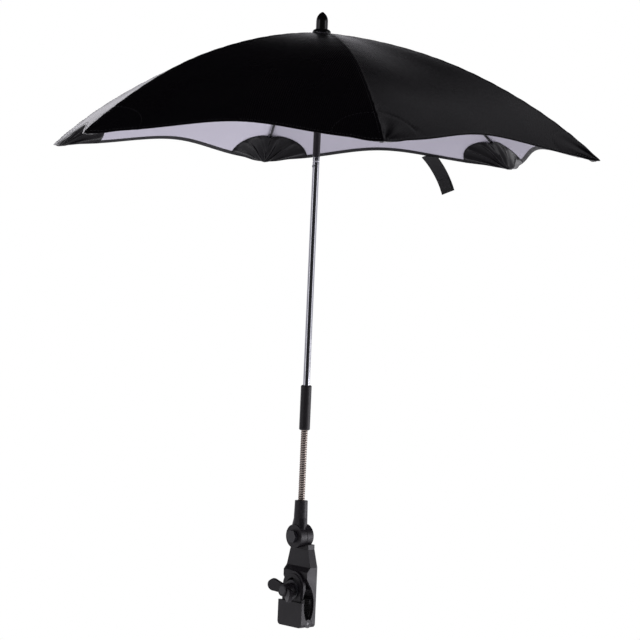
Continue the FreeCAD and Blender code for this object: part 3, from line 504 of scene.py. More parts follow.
# Polyamide hook tape, moulded and cut: dark and bristly
HOOK_TAPE = Finish(
    "polyamide_hook_tape_moulded", "#070607", "#100f11", (0.6, 0.75), mottle=5.0, grain=0.9, relief=0.2,
)
# Polyester sewing thread, spun and dyed: a dull black, paler than the cloth
THREAD = Finish(
    "polyester_thread_spun_black", "#151417", "#232225", (0.55, 0.7), mottle=3.0, grain=0.5, relief=0.03,
    sheen=0.05,
)

SLOT_FINISHES = {
    Slot.BLACK_PLASTIC: MOULDED_ABS,
    Slot.GLOSS_PLASTIC: POLISHED_ABS,
    Slot.RUBBER: MOULDED_RUBBER,
    Slot.CHROME: CHROMED_TUBE,
    Slot.ZINC: ZINC_FASTENERS,
    Slot.BLACK_STEEL: BLACKENED_STEEL,
    Slot.RIB_PAINT: PAINTED_WIRE,
    Slot.CANOPY_CLOTH: OUTER_CLOTH,
    Slot.STRAP_CLOTH: BINDING,
}


@dataclass
class Draft:
    """A mesh in the making."""

    points: list[Array] = field(default_factory=list)
    flat: list[Array] = field(default_factory=list)
    faces: list[tuple[int, ...]] = field(default_factory=list)
    finish: list[int] = field(default_factory=list)
    sharp: set[tuple[int, int]] = field(default_factory=set)
    count: int = 0

    def add_points(self, points: Array, flat: Array) -> Array:
        """Adds points with their places on the flat cloth.

        Args:
            points: Places in space; the last axis has three numbers.
            flat: Places on the flat cloth in metres; the last axis has two numbers.

        Returns:
            The points' numbers, in the shape of the grid they came in.
        """
        numbers = np.arange(self.count, self.count + points[..., 0].size).reshape(points.shape[:-1])
        self.points.append(points.reshape(-1, 3))
        self.flat.append(flat.reshape(-1, 2))
        self.count += numbers.size
        return numbers

    def add_quads(self, numbers: Array, finish: Array | int = 0) -> None:
        """Fills a grid of points with quads, which face down the rows crossed with along the rows.

        Args:
            numbers: The points' numbers, row by row.
            finish: The finish of all quads, or of each row of quads.
        """
        quads = np.stack([numbers[:-1, :-1], numbers[1:, :-1], numbers[1:, 1:], numbers[:-1, 1:]], axis=-1)
        rows = np.broadcast_to(np.asarray(finish).reshape(-1, 1), quads.shape[:2])
        self.faces += [tuple(q) for q in quads.reshape(-1, 4).tolist()]
        self.finish += rows.reshape(-1).tolist()

    def mark_sharp(self, run: list[int]) -> None:
        """Makes the edges between neighbours in a run of points sharp."""
        self.sharp |= {tuple(sorted(edge)) for edge in zip(run, run[1:])}

    def add_rim(self, outer: Array, inner: Array) -> None:
        """Closes the edge between two layers all the way round, as a sharp-edged wall.

        Args:
            outer: The outer layer's numbers.
            inner: The inner layer's numbers.
        """
        rings = [self.ring(layer) for layer in (outer, inner)]
        for ring in rings:
            self.mark_sharp(ring.tolist())
        self.add_quads(np.stack(rings))

    @staticmethod
    def ring(numbers: Array) -> Array:
        """Returns the closed ring of a grid's edge points, from the last row's start."""
        return np.concatenate([
            numbers[-1, :-1], numbers[:0:-1, -1], numbers[0, :0:-1], numbers[:-1, 0], numbers[-1:, 0],
        ])

    def add_shell(self, outer: Array, inner: Array, flat: Array, inner_finish: Array | int = 0) -> None:
        """Adds a closed shell of two layers.

        Args:
            outer: The outer layer's grid of points.
            inner: The inner layer's grid of points.
            flat: The grid's places on the flat cloth.
            inner_finish: The inner layer's finish, for all quads or for each row.
        """
        top = self.add_points(outer, flat)
        bottom = self.add_points(inner, flat)
        self.add_quads(top)
        self.add_quads(bottom[:, ::-1], inner_finish)
        self.add_rim(top, bottom)

    def add_tube(self, rings: Array, flat: Array) -> None:
        """Adds a closed tube through rings of points, with a flat end at each side.

        Args:
            rings: The rings, one a row, anticlockwise seen from the last ring.
            flat: The rings' places on the flat cloth.
        """
        numbers = self.add_points(rings, flat)
        self.add_quads(np.concatenate([numbers, numbers[:, :1]], axis=1)[::-1])
        for end in (numbers[0, ::-1], numbers[-1]):
            ring = end.tolist()
            self.faces.append(tuple(ring))
            self.finish.append(0)
            self.mark_sharp(ring + ring[:1])

    def build(self, name: str, *finishes: Finish) -> bpy.types.Object:
        """Makes the mesh and its object.

        Args:
            name: The piece's name.
            finishes: The finishes, in the order of the faces' numbers.

        Returns:
            The object, smooth but for its sharp edges.
        """
        mesh = bpy.data.meshes.new(name)
        mesh.from_pydata(np.concatenate(self.points).tolist(), [], self.faces)
        mesh.polygons.foreach_set("material_index", self.finish)
        mesh.polygons.foreach_set("use_smooth", [True] * len(self.faces))
        corners = np.zeros(len(mesh.loops), int)
        mesh.loops.foreach_get("vertex_index", corners)
        weave = mesh.uv_layers.new(name=WEAVE_MAP)
        weave.data.foreach_set("uv", np.concatenate(self.flat)[corners].reshape(-1))
        for edge in mesh.edges:
            edge.use_edge_sharp = tuple(sorted(edge.vertices)) in self.sharp
        for finish in finishes:
            mesh.materials.append(finish.material())
        mesh.update()
        LOG.info("%s: %d points, %d faces", name, len(mesh.vertices), len(mesh.polygons))
        return linked(name, mesh)


@dataclass(frozen=True)
class CanopyShape:
    """The stretched cloth: an arc along each rib, and straight from rib to rib.

    A place on the cloth of one rib is given by a slope along the rib, in radians, and a share of the way
    to the middle of the gore, from -1 to 1. The bend is the radius of a rib's arc, and the hinge circle
    and height say where the arc begins.
    """

    bend: float = 623.0 * MM
    hinge_circle: float = 9.5 * MM
    hinge_height: float = 736.0 * MM
    rib_start: float = math.radians(4.8)
    rib_end: float = math.radians(40.8)
    hem_rise: float = 27.0 * MM
    cloth_start: float = 8.0 * MM
    tip_cover: float = 4.0 * MM
    tip_cover_width: float = 30.0 * MM
    half_gore: float = math.pi / RIB_COUNT
    normal_step: float = 1e-4

    def out(self, slope: Values, lift: float = 0.0) -> Values:
        """Returns how far the rib's line is from the mast."""
        arc_middle = self.hinge_circle - self.bend * math.sin(self.rib_start)
        return arc_middle + (self.bend + lift) * np.sin(slope)

    def point(self, slope: Values, share: Values, lift: float = 0.0) -> Array:
        """Finds a place in space.

        Args:
            slope: The slopes along the rib.
            share: The shares of the way to the gore's middle.
            lift: The height over the rib's own line.

        Returns:
            Points with the rib along X and the mast on Z.
        """
        out = self.out(slope, lift)
        half_chord = math.sin(self.half_gore)
        drawn_in = out * (1 - half_chord * math.sin(self.half_gore) * np.abs(share))
        across = out * half_chord * math.cos(self.half_gore) * share
        arc_middle = self.hinge_height - self.bend * math.cos(self.rib_start)
        up = arc_middle + (self.bend + lift) * np.cos(slope)
        return stacked(drawn_in, across, up)

    def normal(self, slope: Values, share: Values) -> Array:
        """Finds the way that the cloth faces.

        Args:
            slope: The slopes along the rib.
            share: The shares of the way to the gore's middle.

        Returns:
            The outward normals.
        """
        step = self.normal_step
        along = self.point(slope + step, share) - self.point(slope - step, share)
        across = self.point(slope, share + step) - self.point(slope, share - step)
        return unit(np.cross(along, across))

    def hem(self, share: Values) -> Values:
        """Finds where the cloth ends: just past the ribs' tips, drawn up in a wave between them.

        Args:
            share: The shares of the way to the gore's middle.

        Returns:
            The slopes along the rib.
        """
        point = self.point(self.rib_end, share)
        spread = np.arctan2(point[..., 1], point[..., 0])
        wave = (1 - np.cos(math.pi * spread / self.half_gore)) / 2
        aside = self.lateral(self.rib_end, share)
        cover = self.tip_cover * np.exp(-(aside / self.tip_cover_width) ** 4)
        return self.rib_end + (cover - wave * self.hem_rise) / self.bend

    def corner(self) -> float:
        """Returns the slope of the cloth's corner, past the rib's tip."""
        return self.rib_end + self.tip_cover / self.bend

    def start(self) -> float:
        """Returns the slope at which the cloth begins, under the finial."""
        return math.asin((self.cloth_start - float(self.out(0.0))) / self.bend)

    def lateral(self, slope: Values, share: Values) -> Values:
        """Returns the distance from the rib's line, measured along the cloth."""
        return self.out(slope) * math.sin(self.half_gore) * share


def rib_turn(number: float) -> Array:
    """Finds how a rib is turned.

    Args:
        number: The rib's number; a half more gives the middle of the gore after it.

    Returns:
        The matrix that turns a point from the frame of the rib into the part's frame.
    """
    turn = 2 * math.pi / RIB_COUNT * (number - 1)
    return np.array([
        [math.sin(turn), math.cos(turn), 0.0],
        [-math.cos(turn), math.sin(turn), 0.0],
        [0.0, 0.0, 1.0],
    ])


@dataclass
class Folding:
    """How a soft piece follows its rib: it rides on it."""

    keep: float = 0.12
    flare: float = math.radians(28.0)
    lift: float = -1.0 * MM
    shape: CanopyShape = CanopyShape()

    def carry(self, piece: bpy.types.Object, number: int, side: Side, held: float) -> None:
        """Puts a piece on its rib: the rib's body carries it, and it gets its own mesh.

        Args:
            piece: The piece, with its mesh final.
            number: The rib's number.
            side: The side of the rib it is on; not used.
            held: Where along the rib it stays put, from 0 at the hinge to 1 at the tip.
        """
        shape = self.shape
        slope = shape.rib_start + held * (shape.rib_end - shape.rib_start)
        anchor = rib_turn(number) @ shape.point(slope, 0.0, self.lift)
        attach(piece, f"rib_{number}")
        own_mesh(piece)


@dataclass
class Sewing:
    """Lockstitches: short lengths of thread that lie on the cloth and dip in at both ends.

    They are drawn somewhat longer and thicker than real ones, so that they show. The steps are shares of
    a stitch's length; the girths and rises are its radius and its height there, in radii of the thread.
    """

    length: float = 3.4 * MM
    pitch: float = 4.6 * MM
    thread: float = 0.28 * MM
    sides: int = 5
    steps: tuple[float, ...] = (0.0, 0.18, 0.5, 0.82, 1.0)
    girths: tuple[float, ...] = (0.45, 0.9, 1.0, 0.9, 0.45)
    rises: tuple[float, ...] = (-0.6, 0.2, 0.45, 0.2, -0.6)

    def run(self, draft: Draft, path: Array, normals: Array) -> None:
        """Sews along a path.

        Args:
            draft: The mesh that takes the stitches.
            path: Points along the seam, on the cloth's face.
            normals: The face's normal at each point.
        """
        walked = np.concatenate([[0.0], np.cumsum(np.linalg.norm(np.diff(path, axis=0), axis=1))])
        girth = self.thread * np.array(self.girths)[:, None, None]
        rise = self.thread * np.array(self.rises)[:, None]
        turn = full_turn(self.sides)
        for begin in np.arange(self.pitch - self.length, walked[-1] - self.length, self.pitch):
            along = begin + self.length * np.array(self.steps)
            middle, up = (
                stacked(*(np.interp(along, walked, line) for line in lines.T))
                for lines in (path, normals)
            )
            up = unit(up)
            ahead = np.broadcast_to(unit(middle[-1] - middle[0]), up.shape)
            side = unit(np.cross(up, ahead))
            rings = (
                (middle + up * rise)[:, None, :]
                + girth * np.cos(turn)[None, :, None] * side[:, None, :]
                + girth * np.sin(turn)[None, :, None] * up[:, None, :]
            )
            draft.add_tube(rings, stacked(turn[None, :] * self.thread, along[:, None]))


@dataclass
class Canopy:
    """The sewn cloth: a share for each rib, from gore middle to gore middle, in halves that meet on it.

    A hold is where along its rib a piece stays put. A shift is in radians from one rib to the next, so
    that no two shares crease alike.
    """

    shape: CanopyShape = CanopyShape()
    folding: Folding = field(default_factory=Folding)
    sewing: Sewing = field(default_factory=Sewing)
    cloth_hold: float = 0.5
    patch_hold: float = 0.93

    # The cloth, its binding and the roll of its edge
    top_lift: float = 3.5 * MM
    wall: float = 0.6 * MM
    binding_wall: float = 0.5 * MM
    binding_width: float = 6.0 * MM
    binding_step: float = 0.6 * MM
    roll_reach: float = 0.8 * MM
    roll_depth: float = 0.35 * MM

    # How the cloth stands off its drawn shape
    sag: float = 3.0 * MM
    seam_raise: float = 0.25 * MM
    seam_width: float = 2.4 * MM
    pucker: float = 0.22 * MM
    pucker_pitch: float = 24.0 * MM
    pucker_reach: float = 13.0 * MM
    pucker_shift: float = 1.7
    ripple: float = 0.5 * MM
    ripple_length: float = 31.0 * MM
    ripple_across: float = 3.1
    ripple_shift: float = 0.9
    ripple_onset: float = 1.5
    tip_fold: float = 1.6 * MM
    tip_fold_reach: float = 34.0 * MM
    tip_fold_fade: float = 1.4
    tip_folds: float = 7.0
    seam_dip: float = 0.35 * MM
    seam_dip_width: float = 2.4 * MM
    seam_gather: float = 0.35
    seam_gathers: float = 9.0
    seam_gather_shift: float = 2.0

    # The corner patches, the pockets in them and their folds
    patch_radius: float = 58.0 * MM
    patch_stretch: float = 1.12
    patch_start: float = 2.0 * MM
    patch_margin: float = 1.0 * MM
    patch_wall: float = 0.4 * MM
    patch_lift: float = 2.5 * MM
    patch_rows: int = 36
    patch_columns: int = 49
    pocket_depth: float = 5.6 * MM
    pocket_width: tuple[float, float] = (15.0 * MM, 8.0 * MM)
    pocket_nose: float = 4.0 * MM
    patch_fold: float = 2.4 * MM
    patch_folds: int = 6
    fold_narrowing: int = 3
    fold_onset: float = 2.2
    fold_wander: tuple[float, float] = (0.5, 0.35)
    fold_wander_rates: tuple[float, float] = (2.1, 4.3)
    fold_shift: float = 1.3
    hem_release: float = 6.0
    edge_release: float = 9.0
    edge_gape: float = 0.12

    # The seams; the one beside the rib begins so many radians past the cloth's start
    hem_stitch: float = 4.2 * MM
    hem_steps: int = 81
    seam_stitch: float = 3.0 * MM
    seam_begin: float = 0.02
    seam_end: float = 8.0 * MM
    seam_steps: int = 200
    seam_margin: float = 2.0 * MM
    patch_sewn: tuple[float, float] = (0.02, 0.97)
    patch_steps: int = 60

    # The grid: runs of columns as first share, last share and count, and rows in millimetres off the hem
    share_runs: tuple[tuple[float, float, int], ...] = (
        (0.0, 0.036, 7), (0.048, 0.324, 24), (0.38, 0.94, 11), (0.97, 0.99, 2), (1.0, 1.0, 1),
    )
    hem_rows: tuple[float, ...] = (14.0, 12.0, 10.0, 7.6, 6.6, 6.0, 5.0, 4.2, 3.4, 2.0, 0.8, 0.2, 0.0)
    upper_rows: int = 46
    corner_rows: int = 30
    corner_depth: float = 76.0 * MM
    hem_halvings: int = 40

    def relief(self, slope: Array, share: Array, number: int) -> Array:
        """Works out how far the cloth stands off its drawn shape.

        Args:
            slope: The slopes along the rib.
            share: The shares of the way to the gore's middle.
            number: The rib's number, which gives each share its own creases.

        Returns:
            Heights along the normal; they die out at the gore's middle, so that two shares meet smoothly.
        """
        shape = self.shape
        along = shape.bend * (slope - shape.start())
        below = shape.bend * (shape.hem(share) - slope)
        part = along / (along + below)
        lateral = shape.lateral(slope, share)
        fading = (1 - share ** 2) ** 2
        hang = np.sin(math.pi * np.clip(part, 0, 1)) ** 2
        sagging = -self.sag * hang * (1 - np.cos(math.pi * share)) / 2
        seam = self.seam_raise * np.exp(-(lateral / self.seam_width) ** 2)

        phase = 2 * math.pi * along / self.pucker_pitch + self.pucker_shift * number + np.sign(share)
        puckers = self.pucker * np.sin(phase) * np.exp(-np.abs(lateral) / self.pucker_reach)
        swell = np.sin(along / self.ripple_length + number)
        swell_across = np.sin(self.ripple_across * share + self.ripple_shift * number)
        ripples = self.ripple * (swell * swell_across * soft_step(part * self.ripple_onset))

        up_rib = shape.bend * (shape.corner() - slope)
        bearing = np.arctan2(lateral, up_rib + TINY)
        from_tip = np.hypot(up_rib, lateral) / self.tip_fold_reach
        fan = np.sin(self.tip_folds * bearing + number)
        folds = self.tip_fold * fan * from_tip * np.exp(-self.tip_fold_fade * from_tip ** 2)
        off_seam = np.hypot(up_rib, lateral / self.patch_stretch) - (self.patch_radius - self.seam_margin)
        gather = np.sin(self.seam_gathers * bearing + self.seam_gather_shift * number)
        drawn = 1 + self.seam_gather * gather
        dip = -self.seam_dip * drawn * np.exp(-(off_seam / self.seam_dip_width) ** 2)
        return sagging + seam + fading * (puckers + ripples + folds + dip)

    def surface(
        self, slope: Array, share: Array, number: int, face: Face, proud: float = 0.0
    ) -> tuple[Array, Array]:
        """Finds places on one face of the cloth.

        Args:
            slope: The slopes along the rib.
            share: The shares of the way to the gore's middle.
            number: The rib's number.
            face: The face of the cloth.
            proud: How far the places stand out of that face.

        Returns:
            The points and the face's normals, in the part's frame.
        """
        normal = self.shape.normal(slope, share)
        height = self.relief(slope, share, number) + proud * face.value
        if face is Face.INNER:
            height = height - self.wall
        point = self.shape.point(slope, share, self.top_lift) + normal * height[..., None]
        turn = rib_turn(number).T
        return point @ turn, normal @ turn * face.value

    def grid(self) -> tuple[Array, Array, Array]:
        """Lays out the grid of one share.

        Returns:
            The slopes and shares of the grid's points, and each row's distance from the hem, which is
            infinite for the rows that do not run along it.
        """
        half = np.concatenate([np.linspace(*run) for run in self.share_runs])
        share = np.concatenate([-half[:0:-1], half])
        near_hem = np.array(self.hem_rows) * MM
        corner = np.linspace(self.corner_depth, near_hem[0], self.corner_rows)[:-1]
        lowest = np.concatenate([corner, near_hem])
        hem = self.shape.hem(share)
        part = np.linspace(0.0, 1.0, self.upper_rows)[:-1, None]
        start = self.shape.start()
        upper = start + part * (hem - lowest[0] / self.shape.bend - start)
        lower = hem[None, :] - lowest[:, None] / self.shape.bend
        slope = np.concatenate([upper, lower])
        distance = np.concatenate([np.full(len(upper), math.inf), lowest])
        return slope, np.broadcast_to(share, slope.shape), distance

    def cloth(self, number: int, side: Side) -> bpy.types.Object:
        """Makes half a share: black outside, coated inside, and bound along the hem.

        Args:
            number: The rib's number.
            side: The side of the rib.

        Returns:
            The piece.
        """
        slope, share, distance = self.grid()
        own = share[0] * side.value >= 0
        slope, share = slope[:, own], share[:, own]
        bound = soft_step((self.binding_width + self.binding_step - distance) / self.binding_step)
        rolled = (1 - soft_step(distance / self.roll_reach)) * self.roll_depth
        top, normal = self.surface(slope, share, number, Face.OUTER)
        low, _ = self.surface(slope, share, number, Face.INNER)
        top = top - normal * rolled[:, None, None]
        low = low - normal * (bound * self.binding_wall - rolled)[:, None, None]
        flat = stacked(self.shape.lateral(slope, share), self.shape.bend * slope)
        finishes = (OUTER_CLOTH, LINING, BINDING)
        in_binding = distance[1:] < self.binding_width + self.binding_step / 2
        inner_finish = np.where(in_binding, finishes.index(BINDING), finishes.index(LINING))
        draft = Draft()
        draft.add_shell(top, low, flat, inner_finish)
        return draft.build(f"canopy_cloth_{number}_{side.name.lower()}", *finishes)

    def hem_angle(self, radius: Array) -> Array:
        """Finds how far round a rib's tip a circle goes before it leaves the cloth.

        Args:
            radius: The circles' radii.

        Returns:
            The angle from the rib's line for each radius.
        """
        low, high = np.zeros_like(radius), np.full_like(radius, math.pi / 2)
        for _ in range(self.hem_halvings):
            middle = (low + high) / 2
            slope, share = self.round_tip(radius, middle)
            inside = self.shape.bend * (self.shape.hem(share) - slope) > self.patch_margin
            low, high = np.where(inside, middle, low), np.where(inside, high, middle)
        return low

    def round_tip(self, radius: Array, angle: Array) -> tuple[Array, Array]:
        """Turns a place round a rib's tip into a slope and a share, on ellipses that are wider than long.

        Args:
            radius: The distance from the tip, measured along the rib.
            angle: The angle from the rib's line.

        Returns:
            The slope and the share.
        """
        slope = self.shape.corner() - radius * np.cos(angle) / self.shape.bend
        aside = self.patch_stretch * radius * np.sin(angle)
        return slope, aside / self.shape.lateral(slope, 1.0)

    def patch_creases(self, part: Array, swing: Array, number: int) -> Array:
        """Works out the folds that fan out from a rib's tip over its patch.

        Args:
            part: The share of the way from the tip to the patch's edge.
            swing: The share of the way from the rib's line to the hem, from -1 to 1.
            number: The rib's number, which gives each patch its own folds.

        Returns:
            The folds' heights, which die out at the tip and where the patch is sewn down.
        """
        (wander_round, wander_out), (rate_round, rate_out) = self.fold_wander, self.fold_wander_rates
        wander = (
            wander_round * np.sin(rate_round * swing + number)
            + wander_out * np.sin(rate_out * part + self.fold_shift * number)
        )
        fan = 0.5 - 0.5 * np.cos(2 * math.pi * (self.patch_folds / 2 * (swing + 1)) + wander)
        sewn = (
            soft_step((1 - np.abs(swing)) * self.hem_release)
            * soft_step((1 - part) * self.edge_release + self.edge_gape)
        )
        return self.patch_fold * fan ** self.fold_narrowing * soft_step(part * self.fold_onset) * sewn

    def corner_patch(self, number: int, side: Side) -> bpy.types.Object:
        """Makes half of the half-moon pocket that holds a rib's tip, with folds that fan out from the tip.

        Args:
            number: The rib's number.
            side: The side of the rib.

        Returns:
            The piece.
        """
        radius = np.linspace(self.patch_start, self.patch_radius, self.patch_rows)[:, None]
        swing = np.linspace(1.0, 0.0, self.patch_columns)[None, :] - (side is Side.LEFT)
        angle = self.hem_angle(radius) * swing
        slope, share = self.round_tip(radius, angle)
        lateral = self.shape.lateral(slope, share)
        part = radius / self.patch_radius
        at_tip, at_edge = self.pocket_width
        from_hem = self.shape.bend * (self.shape.hem(share) - slope)
        closed = soft_step((from_hem - self.patch_margin) / self.pocket_nose)
        bulge = np.exp(-(lateral / (at_tip + (at_edge - at_tip) * part)) ** 2)
        pocket = self.pocket_depth * closed * bulge
        height = self.relief(slope, share, number) - pocket - self.patch_creases(part, swing, number)
        base = self.shape.point(slope, share, self.patch_lift)
        normal = self.shape.normal(slope, share)
        turn = rib_turn(number).T
        upper, under = (
            (base + normal * (height - depth)[..., None]) @ turn for depth in (0.0, self.patch_wall)
        )
        draft = Draft()
        draft.add_shell(upper, under, stacked(lateral, radius * np.cos(angle)))
        return draft.build(f"corner_patch_{number}_{side.name.lower()}", CORNER_SATIN)

    def stitching(self, number: int, side: Side) -> bpy.types.Object:
        """Sews half a share: the hem, the seam beside the rib and the edge of the corner patch.

        Args:
            number: The rib's number.
            side: The side of the rib.

        Returns:
            The piece.
        """
        shape, draft = self.shape, Draft()
        share = np.linspace(0.0, 1.0, self.hem_steps) - (side is Side.LEFT)
        hem = shape.hem(share) - self.hem_stitch / shape.bend
        for face, proud in ((Face.OUTER, 0.0), (Face.INNER, self.binding_wall)):
            self.sewing.run(draft, *self.surface(hem, share, number, face, proud))
        end = shape.rib_end - self.seam_end / shape.bend
        slope = np.linspace(shape.start() + self.seam_begin, end, self.seam_steps)
        seam = np.clip(side.value * self.seam_stitch / shape.lateral(slope, 1.0), -1, 1)
        self.sewing.run(draft, *self.surface(slope, seam, number, Face.OUTER))
        edge = np.full(self.patch_steps, self.patch_radius - self.seam_margin)
        angle = self.hem_angle(edge) * side.value * np.linspace(*self.patch_sewn, self.patch_steps)
        self.sewing.run(draft, *self.surface(*self.round_tip(edge, angle), number, Face.OUTER))
        return draft.build(f"canopy_stitches_{number}_{side.name.lower()}", THREAD)

    def flat_area(self) -> float:
        """Works out the area of half a share as it is cut.

        Returns:
            The area in square metres.
        """
        slope, share, _ = self.grid()
        lateral = self.shape.lateral(slope, share)
        steps = self.shape.bend * np.diff(slope, axis=0)[:, :-1]
        return float((steps * np.diff(lateral, axis=1)[:-1]).sum()) / 2

    def build(self) -> None:
        """Makes all shares with their patches and stitches, and puts them on their ribs."""
        width = float(self.shape.lateral(self.shape.rib_end, 1.0))
        length = self.shape.bend * (self.shape.rib_end - self.shape.start())
        reach = float(self.hem_angle(np.array([self.patch_radius]))[0])
        for number, side in itertools.product(RIBS, Side):
            cloth = self.cloth(number, side)
            patch = self.corner_patch(number, side)
            stitches = self.stitching(number, side)
            for piece, slot, held in (
                (cloth, Slot.CANOPY_CLOTH, self.cloth_hold),
                (stitches, Slot.STRAP_CLOTH, self.cloth_hold),
                (patch, Slot.STRAP_CLOTH, self.patch_hold),
            ):
                self.folding.carry(piece, number, side, held)
            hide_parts(f"canopy_panel_{number}")
            self.flat_area()


@dataclass
class ClosureStrap:
    """The hook-and-loop tie that hangs from the rear hem, with its pad of hooks.

    The spread is how far round the mast from its rib the tie is sewn on, the lean is how far it hangs
    aslant, and the curl is the radius that it keeps from being wound round the folded canopy.
    """

    canopy: Canopy
    rib: int = 4
    spread: float = math.radians(17.4)
    lean: float = math.radians(28.0)
    cloth_under: float = 2.1 * MM
    overlap: float = 6.0 * MM
    sewn: float = 3.0 * MM
    curl: float = 80.0 * MM
    wall: float = 1.2 * MM
    width: float = 22.0 * MM
    length: float = 62.0 * MM
    end_fold: float = 9.0 * MM
    end_fold_step: float = 1.0 * MM
    end_fold_wall: float = 0.25 * MM
    wave: float = 0.3 * MM
    wave_length: float = 11.0 * MM
    wave_across: float = 3.0
    pad_wall: float = 0.8 * MM
    pad_gap: float = 0.05 * MM
    pad_width: float = 17.0 * MM
    pad_length: float = 16.0 * MM
    pad_margin: float = 4.0 * MM
    hook_pitch: float = 1.5 * MM
    hook_height: float = 0.3 * MM
    rows: int = 90
    columns: int = 41
    edge_points: int = 6

    def anchor(self) -> tuple[Array, Array, float]:
        """Finds where the tie is sewn on and where its curl has its middle.

        Returns:
            The place on the hem and the curl's middle, in the frame of the gore's middle line, and the
            slope at which the tie begins.
        """
        shape = self.canopy.shape
        square_up = shape.half_gore - self.spread
        share = math.sin(self.spread) / (math.sin(shape.half_gore) * math.cos(square_up))
        end = float(shape.hem(share))
        corners = []
        for slope in (end, end - self.overlap / shape.bend):
            point = shape.point(slope, share, self.cloth_under)
            out = math.hypot(point[0], point[1])
            corners.append(np.array([out * math.cos(square_up), -out * math.sin(square_up), point[2]]))
        hem, inward = corners
        slope = math.atan2(inward[2] - hem[2], hem[0] - inward[0])
        outer = self.curl + self.wall
        return hem, inward - outer * np.array([math.sin(slope), 0.0, math.cos(slope)]), slope

    def outline(self, width: float, thickness: float) -> tuple[Array, Array]:
        """Draws a band's cross-section, with half-round edges.

        Args:
            width: The band's width.
            thickness: The band's thickness.

        Returns:
            How far each point is across the band, and how far outside its middle.
        """
        radius = thickness / 2
        side = np.linspace(-1.0, 1.0, self.columns) * (width / 2 - radius)
        bend = np.linspace(0.0, math.pi, self.edge_points + 2)[1:-1]
        face = np.full(self.columns, radius)
        across = [side, side[-1] + radius * np.sin(bend), side[::-1], side[0] - radius * np.sin(bend)]
        offset = [face, radius * np.cos(bend), -face, -radius * np.cos(bend)]
        return np.concatenate(across), np.concatenate(offset)

    def band(
        self, draft: Draft, begin: float, end: float, width: float, low: float, high: float,
        hooks: float = 0.0,
    ) -> None:
        """Adds a curled band with rounded edges.

        Args:
            draft: The mesh that takes it.
            begin: The distance along the tie at which it begins; its root is cut along the hem.
            end: The distance at which it ends.
            width: Its width.
            low: The radius of its inner face.
            high: The radius of its outer face.
            hooks: How far hooks stand out of its inner face.
        """
        hem, centre, slope = self.anchor()
        across, offset = self.outline(width, high - low)
        root = self.overlap - self.sewn / math.cos(self.lean) - across * math.tan(self.lean)
        start = np.maximum(begin, root)[None, :]
        walked = start + (end - start) * np.linspace(0.0, 1.0, self.rows)[:, None]
        folded = soft_step((walked - (end - self.end_fold)) / self.end_fold_step) * self.end_fold_wall
        swell_across = np.cos(across / width * self.wave_across)[None, :]
        wave = self.wave * np.sin(walked / self.wave_length) * swell_across
        bristle = np.sin(math.pi * walked / self.hook_pitch) * np.sin(math.pi * across / self.hook_pitch)
        inner = (offset < 0)[None, :]
        stands = np.where(inner, -folded - hooks * np.abs(bristle), 0.0)
        radius = (low + high) / 2 + offset[None, :] + stands + wave
        angle = slope + walked / self.curl
        points = stacked(
            centre[0] + radius * np.sin(angle),
            centre[1] + across[None, :],
            centre[2] + radius * np.cos(angle),
        )
        leant = np.array(Matrix.Rotation(-self.lean, 3, (math.sin(slope), 0.0, math.cos(slope))))
        points = hem + (points - hem) @ leant.T
        turn = rib_turn(self.rib + 0.5).T
        draft.add_tube(points[:, ::-1] @ turn, stacked(across[None, :], walked)[:, ::-1])

    def build(self) -> None:
        """Makes the tie and its pad, and puts them on their rib."""
        tape, hooks = Draft(), Draft()
        self.band(tape, 0.0, self.length, self.width, self.curl, self.curl + self.wall)
        pad_begin = self.length - self.pad_length - self.pad_margin
        self.band(
            hooks, pad_begin, pad_begin + self.pad_length, self.pad_width, self.curl - self.pad_wall,
            self.curl - self.pad_gap, hooks=self.hook_height,
        )
        strap = tape.build("closure_strap_tape", BINDING)
        pad = hooks.build("closure_strap_hooks", HOOK_TAPE)
        for piece, node in ((strap, "closure_strap"), (pad, "strap_hook_pad")):
            self.canopy.folding.carry(piece, self.rib, Side.RIGHT, self.canopy.cloth_hold)
            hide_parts(node)


@dataclass
class Gooseneck:
    """The flexible tube: strip wound in a close spiral, in two halves, the one above the other.

    The foot, middle and top are the heights at which it leaves the socket, the halves meet and it enters
    the sleeve.
    """

    foot: float = 137.8 * MM
    middle: float = 183.4 * MM
    top: float = 229.0 * MM
    seated: float = 6.0 * MM
    seat_play: float = 0.15 * MM
    seat_edge: float = 1.0 * MM
    crest: float = 4.45 * MM
    groove: float = 0.75 * MM
    groove_narrowing: float = 0.6
    pitch: float = 3.0 * MM
    rows_per_turn: int = 16
    around: int = 56

    def half(self, name: str, low: float, high: float) -> bpy.types.Object:
        """Winds one half.

        Args:
            name: The piece's name.
            low: The height at which it begins.
            high: The height at which it ends.

        Returns:
            The piece.
        """
        rows = round((high - low) / self.pitch * self.rows_per_turn) + 1
        height = np.linspace(low, high, rows)[:, None]
        turn = full_turn(self.around)[None, :]
        wound = (height - self.middle) / self.pitch - turn / (2 * math.pi)
        crown = np.abs(np.sin(math.pi * wound)) ** self.groove_narrowing
        below, above = (self.foot - height) / self.seat_edge, (height - self.top) / self.seat_edge
        seat = soft_step(below) + soft_step(above)
        radius = self.crest - self.groove * (1 - crown) - self.seat_play * seat
        rings = stacked(radius * np.cos(turn), radius * np.sin(turn), height)
        draft = Draft()
        draft.add_tube(rings, stacked(turn * self.crest, height))
        return draft.build(name, NICKELLED_STRIP)

    def build(self) -> None:
        """Makes both halves, each sunk at its ends into the pieces it joins, and hides the CAD nodes that
        they stand for.
        """
        halves = (
            ("gooseneck_lower", "socket", "gooseneck", self.foot, self.middle, (self.seated, 0.0)),
            ("gooseneck_upper", "gooseneck", "mast_lower", self.middle, self.top, (0.0, self.seated)),
        )
        for node, below, above, start, end, (sunk_below, sunk_above) in halves:
            hose = self.half(f"{node}_hose", start - sunk_below, end + sunk_above)
            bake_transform(hose)
            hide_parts(node)


